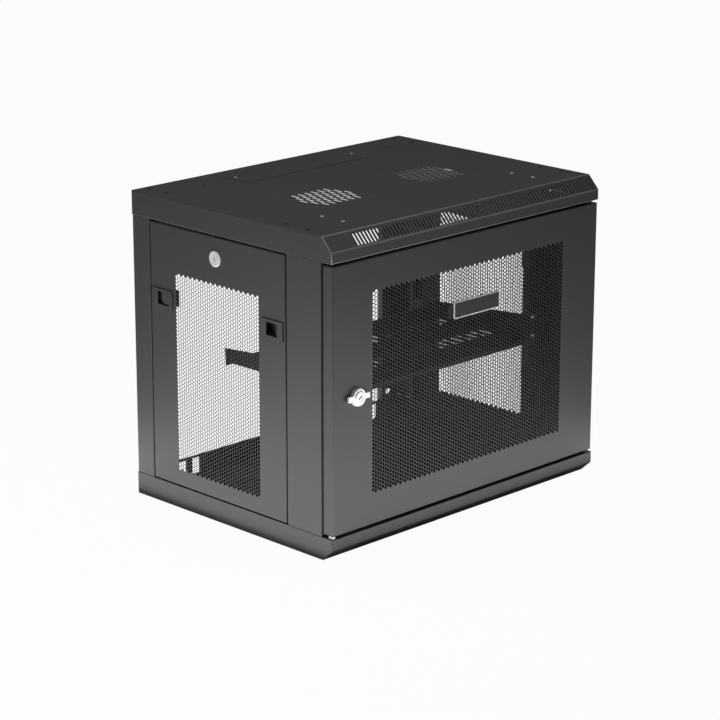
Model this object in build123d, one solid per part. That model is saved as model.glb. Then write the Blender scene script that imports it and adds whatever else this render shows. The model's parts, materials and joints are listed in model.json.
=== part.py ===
from build123d import *
import math
import os

# A 9-unit wall cabinet of folded sheet steel: two covers, four posts, a hinged vented door, two lift-off
# vented side panels, a pair of rack rails and a vented shelf.
# Millimetres. +X right, +Y to the wall, +Z up. The origin is under the middle of the bottom cover.

# Shell
cabinet_width = 600.0
cabinet_depth = 450.0
unit_height = 44.45
unit_count = 9
end_height = 51.475
cover_sheet = 1.5
cover_edge = 1.2
top_skirt = 38.8
bottom_skirt = 36.9
bevel_run = 20.3
top_bevel_drop = 21.7
bottom_bevel_rise = 18.1
rear_skirt = 35.0
lip_depth = 18.0

# Vent slots in the bevels: the real ones are 7 mm apart, and each cut here stands for two
slot_cuts = 36
slot_pitch = 14.08
slot_width = 7.6
slot_end_margin = 2.6

# Fan vents in the top cover
fan_vent_x = 114.0
fan_vent_y = -22.0
fan_vent_rings = 2
fan_vent_pitch = 23.5
fan_vent_web = 4.0
fan_screw_spacing = 105.0
fan_screw_hole = 4.4

# Cable entries at the rear of both covers
entry_width = 256.0
entry_depth = 56.0
entry_corner = 12.0
entry_from_back = 22.0
entry_lap = 10.0
entry_plate_sheet = 1.2
entry_plate_corner = 22.0

# Windows in the rear skirts
wide_window = (197.0, 246.0)
small_window = (168.0, 184.0)
window_edge = 4.0

# Posts
post_sheet = 1.5
front_post_depth = 74.0
front_post_flange = 38.0
rear_post_depth = 41.1
rear_post_flange = 50.0
rear_post_return = 10.0
panel_step = 11.0
panel_ledge = 9.0
post_bend = 1.6
post_gap = 0.6
tab_clearance = 0.7
front_tab_depth = 99.0
rear_tab_depth = 65.0

# Wall mounting holes in the rear posts
wall_hole = 11.0
wall_hole_inset = 26.0
wall_hole_rise = 48.0

# Rack rails, to the 19-inch standard
rail_hole_spacing = 465.1
rail_edge = 7.55
rail_sheet = 2.0
rail_side_space = 30.0
rail_web = 40.0
rail_setback = 76.0
rail_bend = 2.4
square_hole = 9.5
unit_hole_offsets = (6.35, 22.225, 38.1)
rail_clearance = 0.5
foot_width = 65.0
foot_lead = 21.0
foot_tail = 50.0
foot_sheet = 2.0
foot_height = 32.0

# Shelf, one unit high and ten inches deep
shelf_unit = 4
shelf_depth = 254.0
shelf_ear_width = 17.55
shelf_ear_edge = 8.75
shelf_sheet = 1.5
shelf_bend = 1.8
shelf_lip = 8.3
shelf_floor_rise = 2.5
shelf_rear_wall = 20.5
shelf_slot_pitch = 33.6
shelf_slot_width = 12.0
shelf_slot_length = 36.0
shelf_row_spacing = 97.0
ear_gap = 0.4

# Door
door_sheet = 1.2
door_thickness = 20.5
door_edge = 1.0
door_side_gap = 2.5
door_top_gap = 4.5
door_bottom_gap = 4.5
post_setback = 2.4
corner_notch = 2.6

# Vented fields: the real holes are about 6 mm apart, here each stands for a group of them
field_pitch = 49.35
field_web = 10.0
door_field_side = 84.0
door_field_end = 50.0
side_field_side = 60.0
side_field_bottom = 27.0
side_field_top = 76.0

# Hinge pins
pin_radius = 2.5
pin_clearance = 0.05
hinge_from_edge = 7.5
hinge_from_front = 8.0
lower_pin_rise = 14.0
lower_pin_collar = 4.4
door_seat_gap = 0.3
upper_pin_engagement = 5.0
upper_pin_length = 60.0
pin_tip = 0.8
upper_pin_travel = 10.0
guide_slack = 14.2
guide_thickness = 3.0
guide_depth = 14.0
guide_width = 16.0
finger_drop = 22.0
finger_length = 13.0
finger_radius = 1.8

# Badge plate on the door, left bare
badge_width = 98.0
badge_height = 27.0
badge_thickness = 2.2
badge_corner = 3.0
badge_rim = 1.6
badge_recess = 0.6
badge_x = 14.5
badge_drop = 114.9
backing_overhang = 13.0
backing_height = 22.0
backing_thickness = 1.0

# Door lock, a wing knob that turns a cam
lock_from_edge = 49.8
lock_rise = 1.5
lock_rose_radius = 14.0
lock_rose_thickness = 2.0
lock_barrel_radius = 9.0
lock_spindle_radius = 5.0
lock_clearance = 0.05
barrel_clearance = 0.2
knob_gap = 0.3
knob_hub_radius = 13.0
knob_lug_radius = 6.6
knob_lug_offset = 16.9
knob_thickness = 9.0
knob_edge = 1.6
knob_boss_radius = 7.6
knob_boss_rise = 2.0
key_slot_length = 8.0
key_slot_width = 1.8
key_slot_depth = 6.0
key_slot_turn = 35.0
nut_flats = 24.0
nut_thickness = 4.0
cam_length = 28.0
cam_width = 14.0
cam_thickness = 2.0
cam_gap = 0.4
rivet_overlap = 1.5
rivet_head = 1.2

# Side panels
panel_sheet = 1.2
panel_edge = 1.0
panel_seam = 0.9
panel_top_gap = 1.4
panel_bottom_gap = 1.8
panel_seat_gap = 0.2
hook_width = 40.0
hook_reach = 12.0
hook_spacing = 200.0
hook_inset = 4.0

# Side locks, one near the top of each panel
side_lock_offset = 1.1
side_lock_drop = 76.0
side_rose_radius = 12.5
side_rose_thickness = 2.0
side_barrel_radius = 9.0
side_core_radius = 6.0
side_stud_radius = 4.2
side_cam_gap = 2.0
side_cam_length = 38.0
side_cam_width = 13.0
side_nut_flats = 23.0
keeper_width = 30.0
keeper_overlap = 10.0
keeper_gap = 1.0

# Slide latches, two in each side panel, that catch behind the posts' ledges
latch_inset = 29.0
latch_drop = 162.0
bezel_length = 46.0
bezel_height = 29.0
bezel_thickness = 0.8
latch_box_height = 25.6
latch_box_wall = 1.5
latch_box_depth = 16.0
latch_box_near = 18.0
latch_box_far = 21.0
latch_window_length = 25.0
latch_window_height = 21.0
latch_window_offset = -3.0
slider_play = 0.2
slider_slack = 1.6
slider_pocket = 9.0
slider_wall = 2.4
latch_travel = 8.0
tongue_width = 12.0
tongue_thickness = 1.5
tongue_gap = 0.3

# Shelf screws and the cage nuts that hold them
rack_screw_head = 5.4
rack_screw_head_rise = 3.2
rack_screw_shank = 2.9
rack_screw_reach = 12.0
cage_wing = 13.0
cage_plate = 1.0
cage_nut_depth = 5.0
cage_fit = 0.2

# Where the main faces lie
cabinet_height = unit_count * unit_height + 2 * end_height
half_width = cabinet_width / 2
front = -cabinet_depth / 2
back = cabinet_depth / 2
bevel_start = front + bevel_run
top_skirt_edge = cabinet_height - top_skirt
inner_face = half_width - cover_sheet
floor_top = cover_sheet
roof_bottom = cabinet_height - cover_sheet
door_back = front + door_thickness
door_low = bottom_skirt + door_bottom_gap
door_high = top_skirt_edge - door_top_gap
door_half = half_width - door_side_gap
door_middle = (door_low + door_high) / 2
post_front = door_back + post_setback
post_rear = back - cover_sheet
front_seam = post_front + front_post_depth
rear_seam = back - rear_post_depth
panel_low = bottom_skirt + panel_bottom_gap
panel_high = top_skirt_edge - panel_top_gap
panel_front = front_seam + panel_seam
panel_rear = rear_seam - panel_seam
panel_middle = (panel_front + panel_rear) / 2
panel_depth = panel_step - panel_seat_gap
unit_base = end_height
hinge_x = door_half - hinge_from_edge
hinge_y = front + hinge_from_front
side_lock_z = cabinet_height - side_lock_drop
foot_top = floor_top + foot_sheet
rail_front = front + rail_setback
rail_outer = half_width - rail_side_space
rail_inner_web = rail_outer - rail_sheet
hole_x = rail_hole_spacing / 2
shelf_base = unit_base + shelf_unit * unit_height
shelf_front = rail_front - shelf_sheet
shelf_rear = shelf_front + shelf_depth
shelf_floor = shelf_base + shelf_floor_rise
shelf_half = hole_x - shelf_ear_width
ear_end = hole_x + shelf_ear_edge
ear_low = shelf_base + ear_gap
ear_high = shelf_base + unit_height - ear_gap
lock_x = -door_half + lock_from_edge
lock_z = door_middle + lock_rise
lock_cam_front = post_front + post_sheet + cam_gap
badge_z = door_high - badge_drop
side_lock_y = panel_middle + side_lock_offset
side_cam_depth = panel_step + post_sheet + side_cam_gap
latch_z = cabinet_height - latch_drop
latch_front_y = panel_front + latch_inset
latch_rear_y = panel_rear - latch_inset
tongue_outer = panel_step + post_sheet + tongue_gap
slider_room = latch_box_far + latch_box_near - 2 * latch_box_wall - latch_travel
slider_length = slider_room - 2 * slider_play - slider_slack
guide_drop = finger_drop + finger_radius + upper_pin_travel + guide_slack
entry_y = back - entry_from_back - entry_depth / 2

pieces = {}


def block(x_range, y_range, z_range):
    """A block between two opposite corners, given as a pair of values for each axis."""
    sizes = [high - low for low, high in (x_range, y_range, z_range)]
    centre = [(high + low) / 2 for low, high in (x_range, y_range, z_range)]
    return Pos(*centre) * Box(*sizes)


def folded_section(points, sheet, bend):
    """The cut face of a folded sheet: its outer line runs through the points and the metal lies within."""
    outer_line = FilletPolyline(*points, radius=bend)
    faces = []
    for side in (Side.LEFT, Side.RIGHT):
        outline = offset(outer_line, amount=sheet, side=side, closed=True)
        faces.append(make_face(outline.edges()))
    return min(faces, key=lambda face: face.bounding_box().diagonal)


def upright(section, low, high):
    return extrude(Pos(0, 0, low) * section, amount=high - low)


def mirrored(shape):
    return mirror(shape, about=Plane.YZ)


def add_pair(name, left_shape):
    """Keeps a left-hand piece and its mirror image on the right."""
    pieces["left_" + name] = left_shape
    pieces["right_" + name] = mirrored(left_shape)


def rod(radius, start, direction, length):
    """A round rod from a start point along an axis direction."""
    return extrude(Plane(origin=start, z_dir=direction) * Circle(radius), amount=length)


def hex_rod(flats, start, direction, length):
    across_corners = flats / math.sqrt(3)
    return extrude(Plane(origin=start, z_dir=direction) * RegularPolygon(across_corners, 6), amount=length)


def screw(head_radius, head_rise, shank_radius, reach, seat, direction):
    """A dome-headed screw whose head sits at the seat point and whose shank runs the other way."""
    head_plane = Plane(origin=seat, z_dir=direction)
    head = extrude(head_plane * RegularPolygon(head_radius, 10), amount=head_rise, taper=35)
    shank = extrude(head_plane * RegularPolygon(shank_radius, 6), amount=-reach)
    return head + shank


def staggered_points(width, height, pitch):
    """Hole centres in upright columns, every second column half a pitch lower, inside a rectangle."""
    column_step = pitch * math.sqrt(3) / 2
    columns = int((width - pitch) / 2 / column_step)
    rows = int((height - pitch) / 2 / pitch)
    points = []
    for column in range(-columns, columns + 1):
        shift = pitch / 2 if column % 2 else 0.0
        for row in range(-rows - 1, rows + 1):
            v = row * pitch + shift
            if abs(v) <= (height - pitch) / 2 + 0.01:
                points.append((column * column_step, v))
    return points


def ring_points(rings, pitch):
    """Hole centres of a hexagonal patch, from the middle out."""
    points = []
    for i in range(-rings, rings + 1):
        for j in range(-rings, rings + 1):
            if abs(i + j) <= rings:
                points.append((pitch * (i + j / 2), pitch * j * math.sqrt(3) / 2))
    return points


def cover_profile(low, high, bevel_level):
    """Side view of a cover with its bevelled front, from its skirt edge to its plate."""
    return make_face(Polyline((front, low), (front, bevel_level), (bevel_start, high),
                              (back, high), (back, low), close=True))


def cover_tray(skirt, bevel_height):
    """A cover as it lies skirt down: the plate at the height of the skirt, hollow beneath."""
    bevel_level = skirt - bevel_height
    outer = extrude(Plane.YZ * cover_profile(0.0, skirt, bevel_level), amount=half_width, both=True)
    outer = chamfer([edge for edge in outer.edges() if edge.center().Z > cover_sheet], cover_edge)
    hollow_profile = offset(cover_profile(-3 * cover_sheet, skirt, bevel_level), amount=-cover_sheet,
                            kind=Kind.INTERSECTION)
    hollow = extrude(Plane.YZ * hollow_profile, amount=inner_face, both=True)
    rear_cut = block((-inner_face, inner_face), (back - 2 * cover_sheet, back + cover_sheet),
                     (-cover_sheet, skirt - rear_skirt))
    tray = outer - hollow - rear_cut
    lip = block((-inner_face, inner_face), (front + cover_sheet, front + lip_depth), (0, cover_sheet))
    return tray + lip - Pos(hinge_x, hinge_y, 0) * Cylinder(pin_radius + pin_clearance, 4 * cover_sheet)


def bevel_slots(skirt, bevel_height):
    """The row of vent slots across the bevel."""
    slope = math.hypot(bevel_run, bevel_height)
    normal = (0, -bevel_height / slope, bevel_run / slope)
    middle = (0, front + bevel_run / 2, skirt - bevel_height / 2)
    plane = Plane(origin=middle, x_dir=(1, 0, 0), z_dir=normal)
    cutter = Box(slot_width, slope - 2 * slot_end_margin, 5 * cover_sheet)
    return [plane * Pos((i - (slot_cuts - 1) / 2) * slot_pitch, 0, 0) * cutter for i in range(slot_cuts)]


def cover_holes(skirt):
    """The cable entry and the rear skirt's windows."""
    cuts = []
    window_levels = (skirt - rear_skirt + window_edge, skirt - window_edge)
    for side in (-1, 1):
        for near, far in (wide_window, small_window):
            across = sorted((side * near, side * far))
            cuts.append(block(across, (back - 3 * cover_sheet, back + cover_sheet), window_levels))
    entry = extrude(Pos(0, entry_y, skirt) * RectangleRounded(entry_width, entry_depth, entry_corner),
                    amount=3 * cover_sheet, both=True)
    cuts.append(entry)
    return cuts


def fan_vents():
    """Two hexagonal vent patches with their four screw holes, through the top plate."""
    cuts = []
    cell = (fan_vent_pitch - fan_vent_web) / math.sqrt(3)
    for side in (-1, 1):
        centre = Pos(side * fan_vent_x, fan_vent_y, cabinet_height)
        for x, y in ring_points(fan_vent_rings, fan_vent_pitch):
            hexagon = Pos(x, y, 0) * RegularPolygon(cell, 6, rotation=30)
            cuts.append(extrude(centre * hexagon, amount=3 * cover_sheet, both=True))
        for x in (-fan_screw_spacing / 2, fan_screw_spacing / 2):
            for y in (-fan_screw_spacing / 2, fan_screw_spacing / 2):
                cuts.append(centre * Pos(x, y, 0) * Cylinder(fan_screw_hole / 2, 4 * cover_sheet))
    return cuts


def make_top_cover():
    tray = cover_tray(top_skirt, top_bevel_drop)
    cuts = bevel_slots(top_skirt, top_bevel_drop) + cover_holes(top_skirt)
    cover = Pos(0, 0, top_skirt_edge) * (tray - cuts) - fan_vents()
    keeper_outer = -half_width + side_cam_depth - keeper_gap - cover_sheet
    keeper_low = side_lock_z + side_cam_length - side_cam_width / 2 - keeper_overlap
    keeper = block((keeper_outer, keeper_outer + cover_sheet),
                   (side_lock_y - keeper_width / 2, side_lock_y + keeper_width / 2),
                   (keeper_low, roof_bottom))
    return cover + keeper + mirrored(keeper)


def make_bottom_cover():
    tray = cover_tray(bottom_skirt, bottom_bevel_rise)
    cuts = bevel_slots(bottom_skirt, bottom_bevel_rise) + cover_holes(bottom_skirt)
    turned_over = Pos(0, 0, bottom_skirt) * mirror(tray - cuts, about=Plane.XY)
    return turned_over


def post_tabs(x_range, y_range):
    """The plates at both ends of a post, which the covers are fastened to."""
    levels = (floor_top, roof_bottom - post_sheet)
    return [block(x_range, y_range, (level, level + post_sheet)) for level in levels]


def make_front_post():
    """The left one: a flange behind the door, a flush strip at the side and a ledge behind the panel."""
    flange_edge = -half_width + front_post_flange
    ledge_x = -half_width + panel_step
    section = folded_section([(flange_edge, post_front), (-half_width, post_front),
                              (-half_width, front_seam), (ledge_x, front_seam),
                              (ledge_x, front_seam + panel_ledge)], post_sheet, post_bend)
    strip = upright(section, bottom_skirt + post_gap, top_skirt_edge - post_gap)
    tucked_x = -inner_face + tab_clearance
    flange = block((tucked_x, flange_edge), (post_front, post_front + post_sheet), (floor_top, roof_bottom))
    tabs = post_tabs((tucked_x, -rail_outer - rail_clearance),
                     (post_front, post_front + front_tab_depth))
    return strip + flange + tabs


def make_rear_post():
    """The left one, with the wall mounting holes in its back flange."""
    flange_edge = -half_width + rear_post_flange
    ledge_x = -half_width + panel_step
    section = folded_section([(ledge_x, rear_seam - panel_ledge), (ledge_x, rear_seam),
                              (-half_width, rear_seam), (-half_width, post_rear), (flange_edge, post_rear),
                              (flange_edge, post_rear - rear_post_return)], post_sheet, post_bend)
    strip = upright(section, bottom_skirt + post_gap, top_skirt_edge - post_gap)
    tucked_x = -inner_face + tab_clearance
    flange = block((tucked_x, flange_edge), (post_rear - post_sheet, post_rear), (floor_top, roof_bottom))
    tabs = post_tabs((tucked_x, flange_edge), (post_rear - rear_tab_depth, post_rear))
    post = strip + flange + tabs
    for z in (wall_hole_rise, cabinet_height - wall_hole_rise):
        start = (-half_width + wall_hole_inset, back + post_sheet, z)
        post -= rod(wall_hole / 2, start, (0, -1, 0), 6 * post_sheet)
    return post


def make_rail():
    """The left rack rail, an angle with a column of square holes."""
    section = folded_section([(-hole_x + rail_edge, rail_front), (-rail_outer, rail_front),
                              (-rail_outer, rail_front + rail_web)], rail_sheet, rail_bend)
    rail = upright(section, foot_top, cabinet_height - foot_top)
    holes = []
    for unit in range(unit_count):
        for rise in unit_hole_offsets:
            z = unit_base + unit * unit_height + rise
            holes.append(Pos(-hole_x, rail_front, z) * Box(square_hole, 4 * rail_sheet, square_hole))
    return rail - holes


def make_lower_foot():
    """The left one: an angle that ties the rail's end to the bottom cover."""
    plate = block((-rail_inner_web, -rail_inner_web + foot_width),
                  (rail_front - foot_lead, rail_front + foot_tail), (floor_top, foot_top))
    web = block((-rail_inner_web, -rail_inner_web + foot_sheet),
                (rail_front + 2 * rail_bend, rail_front + rail_web), (floor_top, floor_top + foot_height))
    return plate + web


def flipped(shape):
    """The same piece at the other end of the cabinet's height."""
    return mirror(shape, about=Plane.XY.offset(cabinet_height / 2))


def make_entry_plate(level):
    """The cover plate of a cable entry, rounded at the corners."""
    outline = RectangleRounded(entry_width + 2 * entry_lap, entry_depth + 2 * entry_lap,
                               entry_plate_corner)
    return extrude(Pos(0, entry_y, level) * outline, amount=entry_plate_sheet)


def make_shelf():
    """A tray with turned-down lips, tapered side walls, ears for the rails and two rows of vent slots."""
    lip_low = shelf_floor - shelf_lip
    tray_section = folded_section([(shelf_rear, lip_low), (shelf_rear, shelf_floor),
                                   (shelf_front, shelf_floor), (shelf_front, lip_low)],
                                  shelf_sheet, shelf_bend)
    tray = extrude(Plane.YZ * tray_section, amount=shelf_half, both=True)
    wall_low = shelf_floor - shelf_sheet
    wall_face = make_face(Polyline((shelf_front, wall_low), (shelf_front, ear_high),
                                   (shelf_rear, shelf_floor + shelf_rear_wall),
                                   (shelf_rear, wall_low), close=True))
    wall = extrude(Pos(-shelf_half, 0, 0) * (Plane.YZ * wall_face), amount=shelf_sheet)
    ear = block((-ear_end, -shelf_half + shelf_sheet), (shelf_front, rail_front),
                (ear_low, ear_high))
    for rise in (unit_hole_offsets[0], unit_hole_offsets[-1]):
        start = (-hole_x, rail_front + shelf_sheet, shelf_base + rise)
        ear -= hex_rod(2 * rack_screw_shank, start, (0, -1, 0), 4 * shelf_sheet)
    shelf = tray + wall + mirrored(wall) + ear + mirrored(ear)
    middle_y = (shelf_front + shelf_rear) / 2
    slot_count = int((2 * shelf_half - 2 * shelf_bend - shelf_slot_width) / shelf_slot_pitch) + 1
    slots = []
    for row in (-1, 1):
        for i in range(slot_count):
            x = (i - (slot_count - 1) / 2) * shelf_slot_pitch
            slots.append(Pos(x, middle_y + row * shelf_row_spacing / 2, shelf_floor)
                         * Box(shelf_slot_width, shelf_slot_length, 4 * shelf_sheet))
    return shelf - slots


def shelf_fixings():
    """The screws through the shelf's ears and the cage nuts that hold them in the rails."""
    screws = []
    nuts = []
    for side in (-1, 1):
        for rise in (unit_hole_offsets[0], unit_hole_offsets[-1]):
            x = side * hole_x
            z = shelf_base + rise
            screws.append(screw(rack_screw_head, rack_screw_head_rise, rack_screw_shank,
                                rack_screw_reach, (x, shelf_front, z), (0, -1, 0)))
            neck_side = square_hole - cage_fit
            neck = block((x - neck_side / 2, x + neck_side / 2), (rail_front, rail_front + rail_sheet),
                         (z - neck_side / 2, z + neck_side / 2))
            rear_face = rail_front + rail_sheet
            wings = block((x - neck_side / 2, x + neck_side / 2), (rear_face, rear_face + cage_plate),
                          (z - cage_wing / 2, z + cage_wing / 2))
            body = block((x - neck_side / 2, x + neck_side / 2), (rear_face, rear_face + cage_nut_depth),
                         (z - neck_side / 2, z + neck_side / 2))
            start = (x, rail_front - cage_plate, z)
            bore = hex_rod(2 * rack_screw_shank, start, (0, 1, 0), 2 * rack_screw_reach)
            nuts.append(neck + wings + body - bore)
    return screws, nuts


def make_door():
    """A pan of perforated sheet with folded edges, and a guide inside for the sprung hinge pin."""
    outer = block((-door_half, door_half), (front, door_back), (door_low, door_high))
    front_edges = [edge for edge in outer.edges() if edge.center().Y < door_back - door_edge]
    outer = chamfer(front_edges, door_edge)
    hollow = block((-door_half + door_sheet, door_half - door_sheet),
                   (front + door_sheet, door_back + door_sheet),
                   (door_low + door_sheet, door_high - door_sheet))
    pan = outer - hollow
    cell = (field_pitch - field_web) / math.sqrt(3)
    field = []
    field_width = 2 * (door_half - door_field_side)
    field_height = door_high - door_low - 2 * door_field_end
    for u, v in staggered_points(field_width, field_height, field_pitch):
        beside_badge = abs(u - badge_x) > (badge_width + field_pitch) / 2
        clear_of_badge = abs(v + door_middle - badge_z) > badge_height
        if not (beside_badge or clear_of_badge):
            continue
        plane = Plane(origin=(u, front, door_middle + v), x_dir=(1, 0, 0), z_dir=(0, -1, 0))
        field.append(extrude(plane * RegularPolygon(cell, 6), amount=4 * door_sheet, both=True))
    pan -= field
    for x in (-door_half, door_half):
        for z in (door_low, door_high):
            pan -= Pos(x, door_back, z) * Box(corner_notch, 2 * corner_notch, corner_notch)
    guide_low = door_high - guide_drop
    guide = block((door_half - guide_width, door_half - door_sheet / 2),
                  (front + door_sheet / 2, front + guide_depth), (guide_low, guide_low + guide_thickness))
    pan += guide
    for z, thickness in ((door_low, door_sheet), (door_high, door_sheet), (guide_low, guide_thickness)):
        pan -= Pos(hinge_x, hinge_y, z) * Cylinder(pin_radius + pin_clearance, 4 * thickness)
    pan -= rod(lock_barrel_radius + barrel_clearance, (lock_x, front - door_sheet, lock_z), (0, 1, 0),
               4 * door_sheet)
    return pan


def make_lower_pin():
    """The fixed pin: riveted under the bottom cover's front lip, with a collar that carries the door."""
    rivet_low = bottom_skirt - cover_sheet - rivet_head
    rivet = rod(pin_radius + rivet_overlap, (hinge_x, hinge_y, rivet_low), (0, 0, 1), rivet_head)
    stem = rod(pin_radius, (hinge_x, hinge_y, rivet_low), (0, 0, 1),
               door_low + lower_pin_rise - rivet_low)
    collar = rod(lower_pin_collar, (hinge_x, hinge_y, bottom_skirt), (0, 0, 1),
                 door_bottom_gap - door_seat_gap)
    return rivet + stem + collar


def make_upper_pin():
    """The sliding pin with its finger."""
    top = top_skirt_edge + cover_sheet + upper_pin_engagement
    stem = rod(pin_radius, (hinge_x, hinge_y, top), (0, 0, -1), upper_pin_length)
    stem = chamfer(stem.edges().group_by(Axis.Z)[-1], pin_tip)
    finger = rod(finger_radius, (hinge_x, hinge_y, door_high - finger_drop), (-1, 0, 0), finger_length)
    return stem + finger


def make_badge():
    """A bare plate with a raised rim."""
    plane = Plane(origin=(badge_x, front - backing_thickness, badge_z), x_dir=(1, 0, 0), z_dir=(0, -1, 0))
    outline = RectangleRounded(badge_width, badge_height, badge_corner)
    field = RectangleRounded(badge_width - 2 * badge_rim, badge_height - 2 * badge_rim, badge_corner / 2)
    plate = extrude(plane * outline, amount=badge_thickness)
    return plate - extrude(plane.offset(badge_thickness - badge_recess) * field, amount=badge_recess)


def make_badge_backing():
    left_edge = badge_x - badge_width / 2 - backing_overhang
    return block((left_edge, badge_x + badge_width / 2 - badge_corner),
                 (front - backing_thickness, front),
                 (badge_z - backing_height / 2, badge_z + backing_height / 2))


def make_door_lock_body():
    """The rose and threaded barrel, bored for the spindle."""
    rose = rod(lock_rose_radius, (lock_x, front, lock_z), (0, -1, 0), lock_rose_thickness)
    barrel = rod(lock_barrel_radius, (lock_x, front, lock_z), (0, 1, 0),
                 lock_cam_front - cam_gap - front)
    bore = rod(lock_spindle_radius + lock_clearance, (lock_x, front - 2 * lock_rose_thickness, lock_z),
               (0, 1, 0), 2 * (lock_cam_front - front))
    return rose + barrel - bore


def lock_nut(flats, radius, start, direction):
    thread = rod(radius + lock_clearance, start, direction, nut_thickness)
    return hex_rod(flats, start, direction, nut_thickness) - thread


def key_slot(plane):
    return extrude(plane * Rectangle(key_slot_width, key_slot_length), amount=-key_slot_depth)


def make_knob():
    """A wing knob: a round hub drawn out into two lugs, with the key cylinder at its centre."""
    rose_face = front - lock_rose_thickness
    grip_face = rose_face - knob_gap
    plane = Plane(origin=(lock_x, grip_face, lock_z), x_dir=(1, 0, 0), z_dir=(0, -1, 0))
    lugs = [Pos(side * knob_lug_offset, 0) * Circle(knob_lug_radius) for side in (-1, 1)]
    outline = make_hull((Circle(knob_hub_radius) + lugs).edges())
    grip = extrude(plane * outline, amount=knob_thickness)
    grip = chamfer(grip.edges().group_by(Axis.Y)[0], knob_edge)
    boss_plane = plane.offset(knob_thickness)
    boss = extrude(boss_plane * Circle(knob_boss_radius), amount=knob_boss_rise)
    cam_back = lock_cam_front + cam_thickness
    spindle = rod(lock_spindle_radius, (lock_x, grip_face, lock_z), (0, 1, 0), cam_back - grip_face)
    rivet = rod(lock_spindle_radius + rivet_overlap, (lock_x, cam_back, lock_z), (0, 1, 0), rivet_head)
    slot_plane = boss_plane.offset(knob_boss_rise).rotated((0, 0, key_slot_turn))
    return grip + boss + spindle + rivet - key_slot(slot_plane)


def cam_shape(plane, length, width, bore_radius):
    """A flat lever, rounded at both ends, that reaches along the plane's x axis."""
    lever = make_hull((Circle(width / 2) + Pos(length - width / 2, 0) * Circle(width / 2)).edges())
    return extrude(plane * (lever - Circle(bore_radius + lock_clearance)), amount=cam_thickness)


def make_door_cam():
    plane = Plane(origin=(lock_x, lock_cam_front, lock_z), x_dir=(0, 0, -1), z_dir=(0, 1, 0))
    return cam_shape(plane, cam_length, cam_width, lock_spindle_radius)


def latch_block(middle, towards, u_range, depth_range, height):
    """A block placed by its distance from the latch's middle towards the post and its depth in the panel."""
    ends = sorted((middle + towards * u_range[0], middle + towards * u_range[1]))
    depths = (-half_width + depth_range[0], -half_width + depth_range[1])
    return block(depths, ends, (latch_z - height / 2, latch_z + height / 2))


def make_side_panel():
    """The left one: a pan like the door, with hooks below, cut-outs for the latches and a lock hole."""
    folds_end = -half_width + panel_depth
    outer = block((-half_width, folds_end), (panel_front, panel_rear), (panel_low, panel_high))
    outer = chamfer([edge for edge in outer.edges() if edge.center().X < folds_end - panel_edge], panel_edge)
    hollow = block((-half_width + panel_sheet, folds_end + panel_sheet),
                   (panel_front + panel_sheet, panel_rear - panel_sheet),
                   (panel_low + panel_sheet, panel_high - panel_sheet))
    pan = outer - hollow
    cell = (field_pitch - field_web) / math.sqrt(3)
    field_width = panel_rear - panel_front - 2 * side_field_side
    field_low = panel_low + side_field_bottom
    field_high = panel_high - side_field_top
    field_middle = (field_low + field_high) / 2
    cuts = []
    for u, v in staggered_points(field_width, field_high - field_low, field_pitch):
        middle = (-half_width, panel_middle + u, field_middle + v)
        plane = Plane(origin=middle, x_dir=(0, 1, 0), z_dir=(-1, 0, 0))
        cuts.append(extrude(plane * RegularPolygon(cell, 6), amount=4 * panel_sheet, both=True))
    for middle, towards in ((latch_front_y, -1), (latch_rear_y, 1)):
        cuts.append(latch_block(middle, towards,
                                (-latch_box_far - slider_play, latch_box_near + slider_play),
                                (-panel_sheet, 3 * panel_sheet), latch_box_height + 2 * slider_play))
    start = (-half_width - panel_sheet, side_lock_y, side_lock_z)
    cuts.append(rod(side_barrel_radius + barrel_clearance, start, (1, 0, 0), 4 * panel_sheet))
    pan -= cuts
    hook_x = -half_width + hook_inset
    for y in (panel_middle - hook_spacing / 2, panel_middle + hook_spacing / 2):
        pan += block((hook_x, hook_x + panel_sheet), (y - hook_width / 2, y + hook_width / 2),
                     (panel_low - hook_reach, panel_low + panel_sheet))
    return pan


def make_side_lock_body():
    rose = rod(side_rose_radius, (-half_width, side_lock_y, side_lock_z), (-1, 0, 0), side_rose_thickness)
    barrel = rod(side_barrel_radius, (-half_width, side_lock_y, side_lock_z), (1, 0, 0), side_cam_depth)
    bore_start = (-half_width - 2 * side_rose_thickness, side_lock_y, side_lock_z)
    bore = rod(side_core_radius + lock_clearance, bore_start, (1, 0, 0), 2 * side_cam_depth)
    return rose + barrel - bore


def make_side_lock_core():
    """The turning core, with its upright key slot."""
    face_x = -half_width - side_rose_thickness
    cam_x = -half_width + side_cam_depth
    core = rod(side_core_radius, (face_x, side_lock_y, side_lock_z), (1, 0, 0), cam_x - face_x)
    stud = rod(side_stud_radius, (cam_x, side_lock_y, side_lock_z), (1, 0, 0), cam_thickness)
    rivet = rod(side_stud_radius + rivet_overlap, (cam_x + cam_thickness, side_lock_y, side_lock_z),
                (1, 0, 0), rivet_head)
    slot_plane = Plane(origin=(face_x, side_lock_y, side_lock_z), x_dir=(0, 1, 0), z_dir=(-1, 0, 0))
    return core + stud + rivet - key_slot(slot_plane)


def make_side_cam():
    """The cam at rest points back along the panel, out of the keeper."""
    pivot = (-half_width + side_cam_depth, side_lock_y, side_lock_z)
    plane = Plane(origin=pivot, x_dir=(0, 1, 0), z_dir=(1, 0, 0))
    return cam_shape(plane, side_cam_length, side_cam_width, side_stud_radius)


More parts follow.
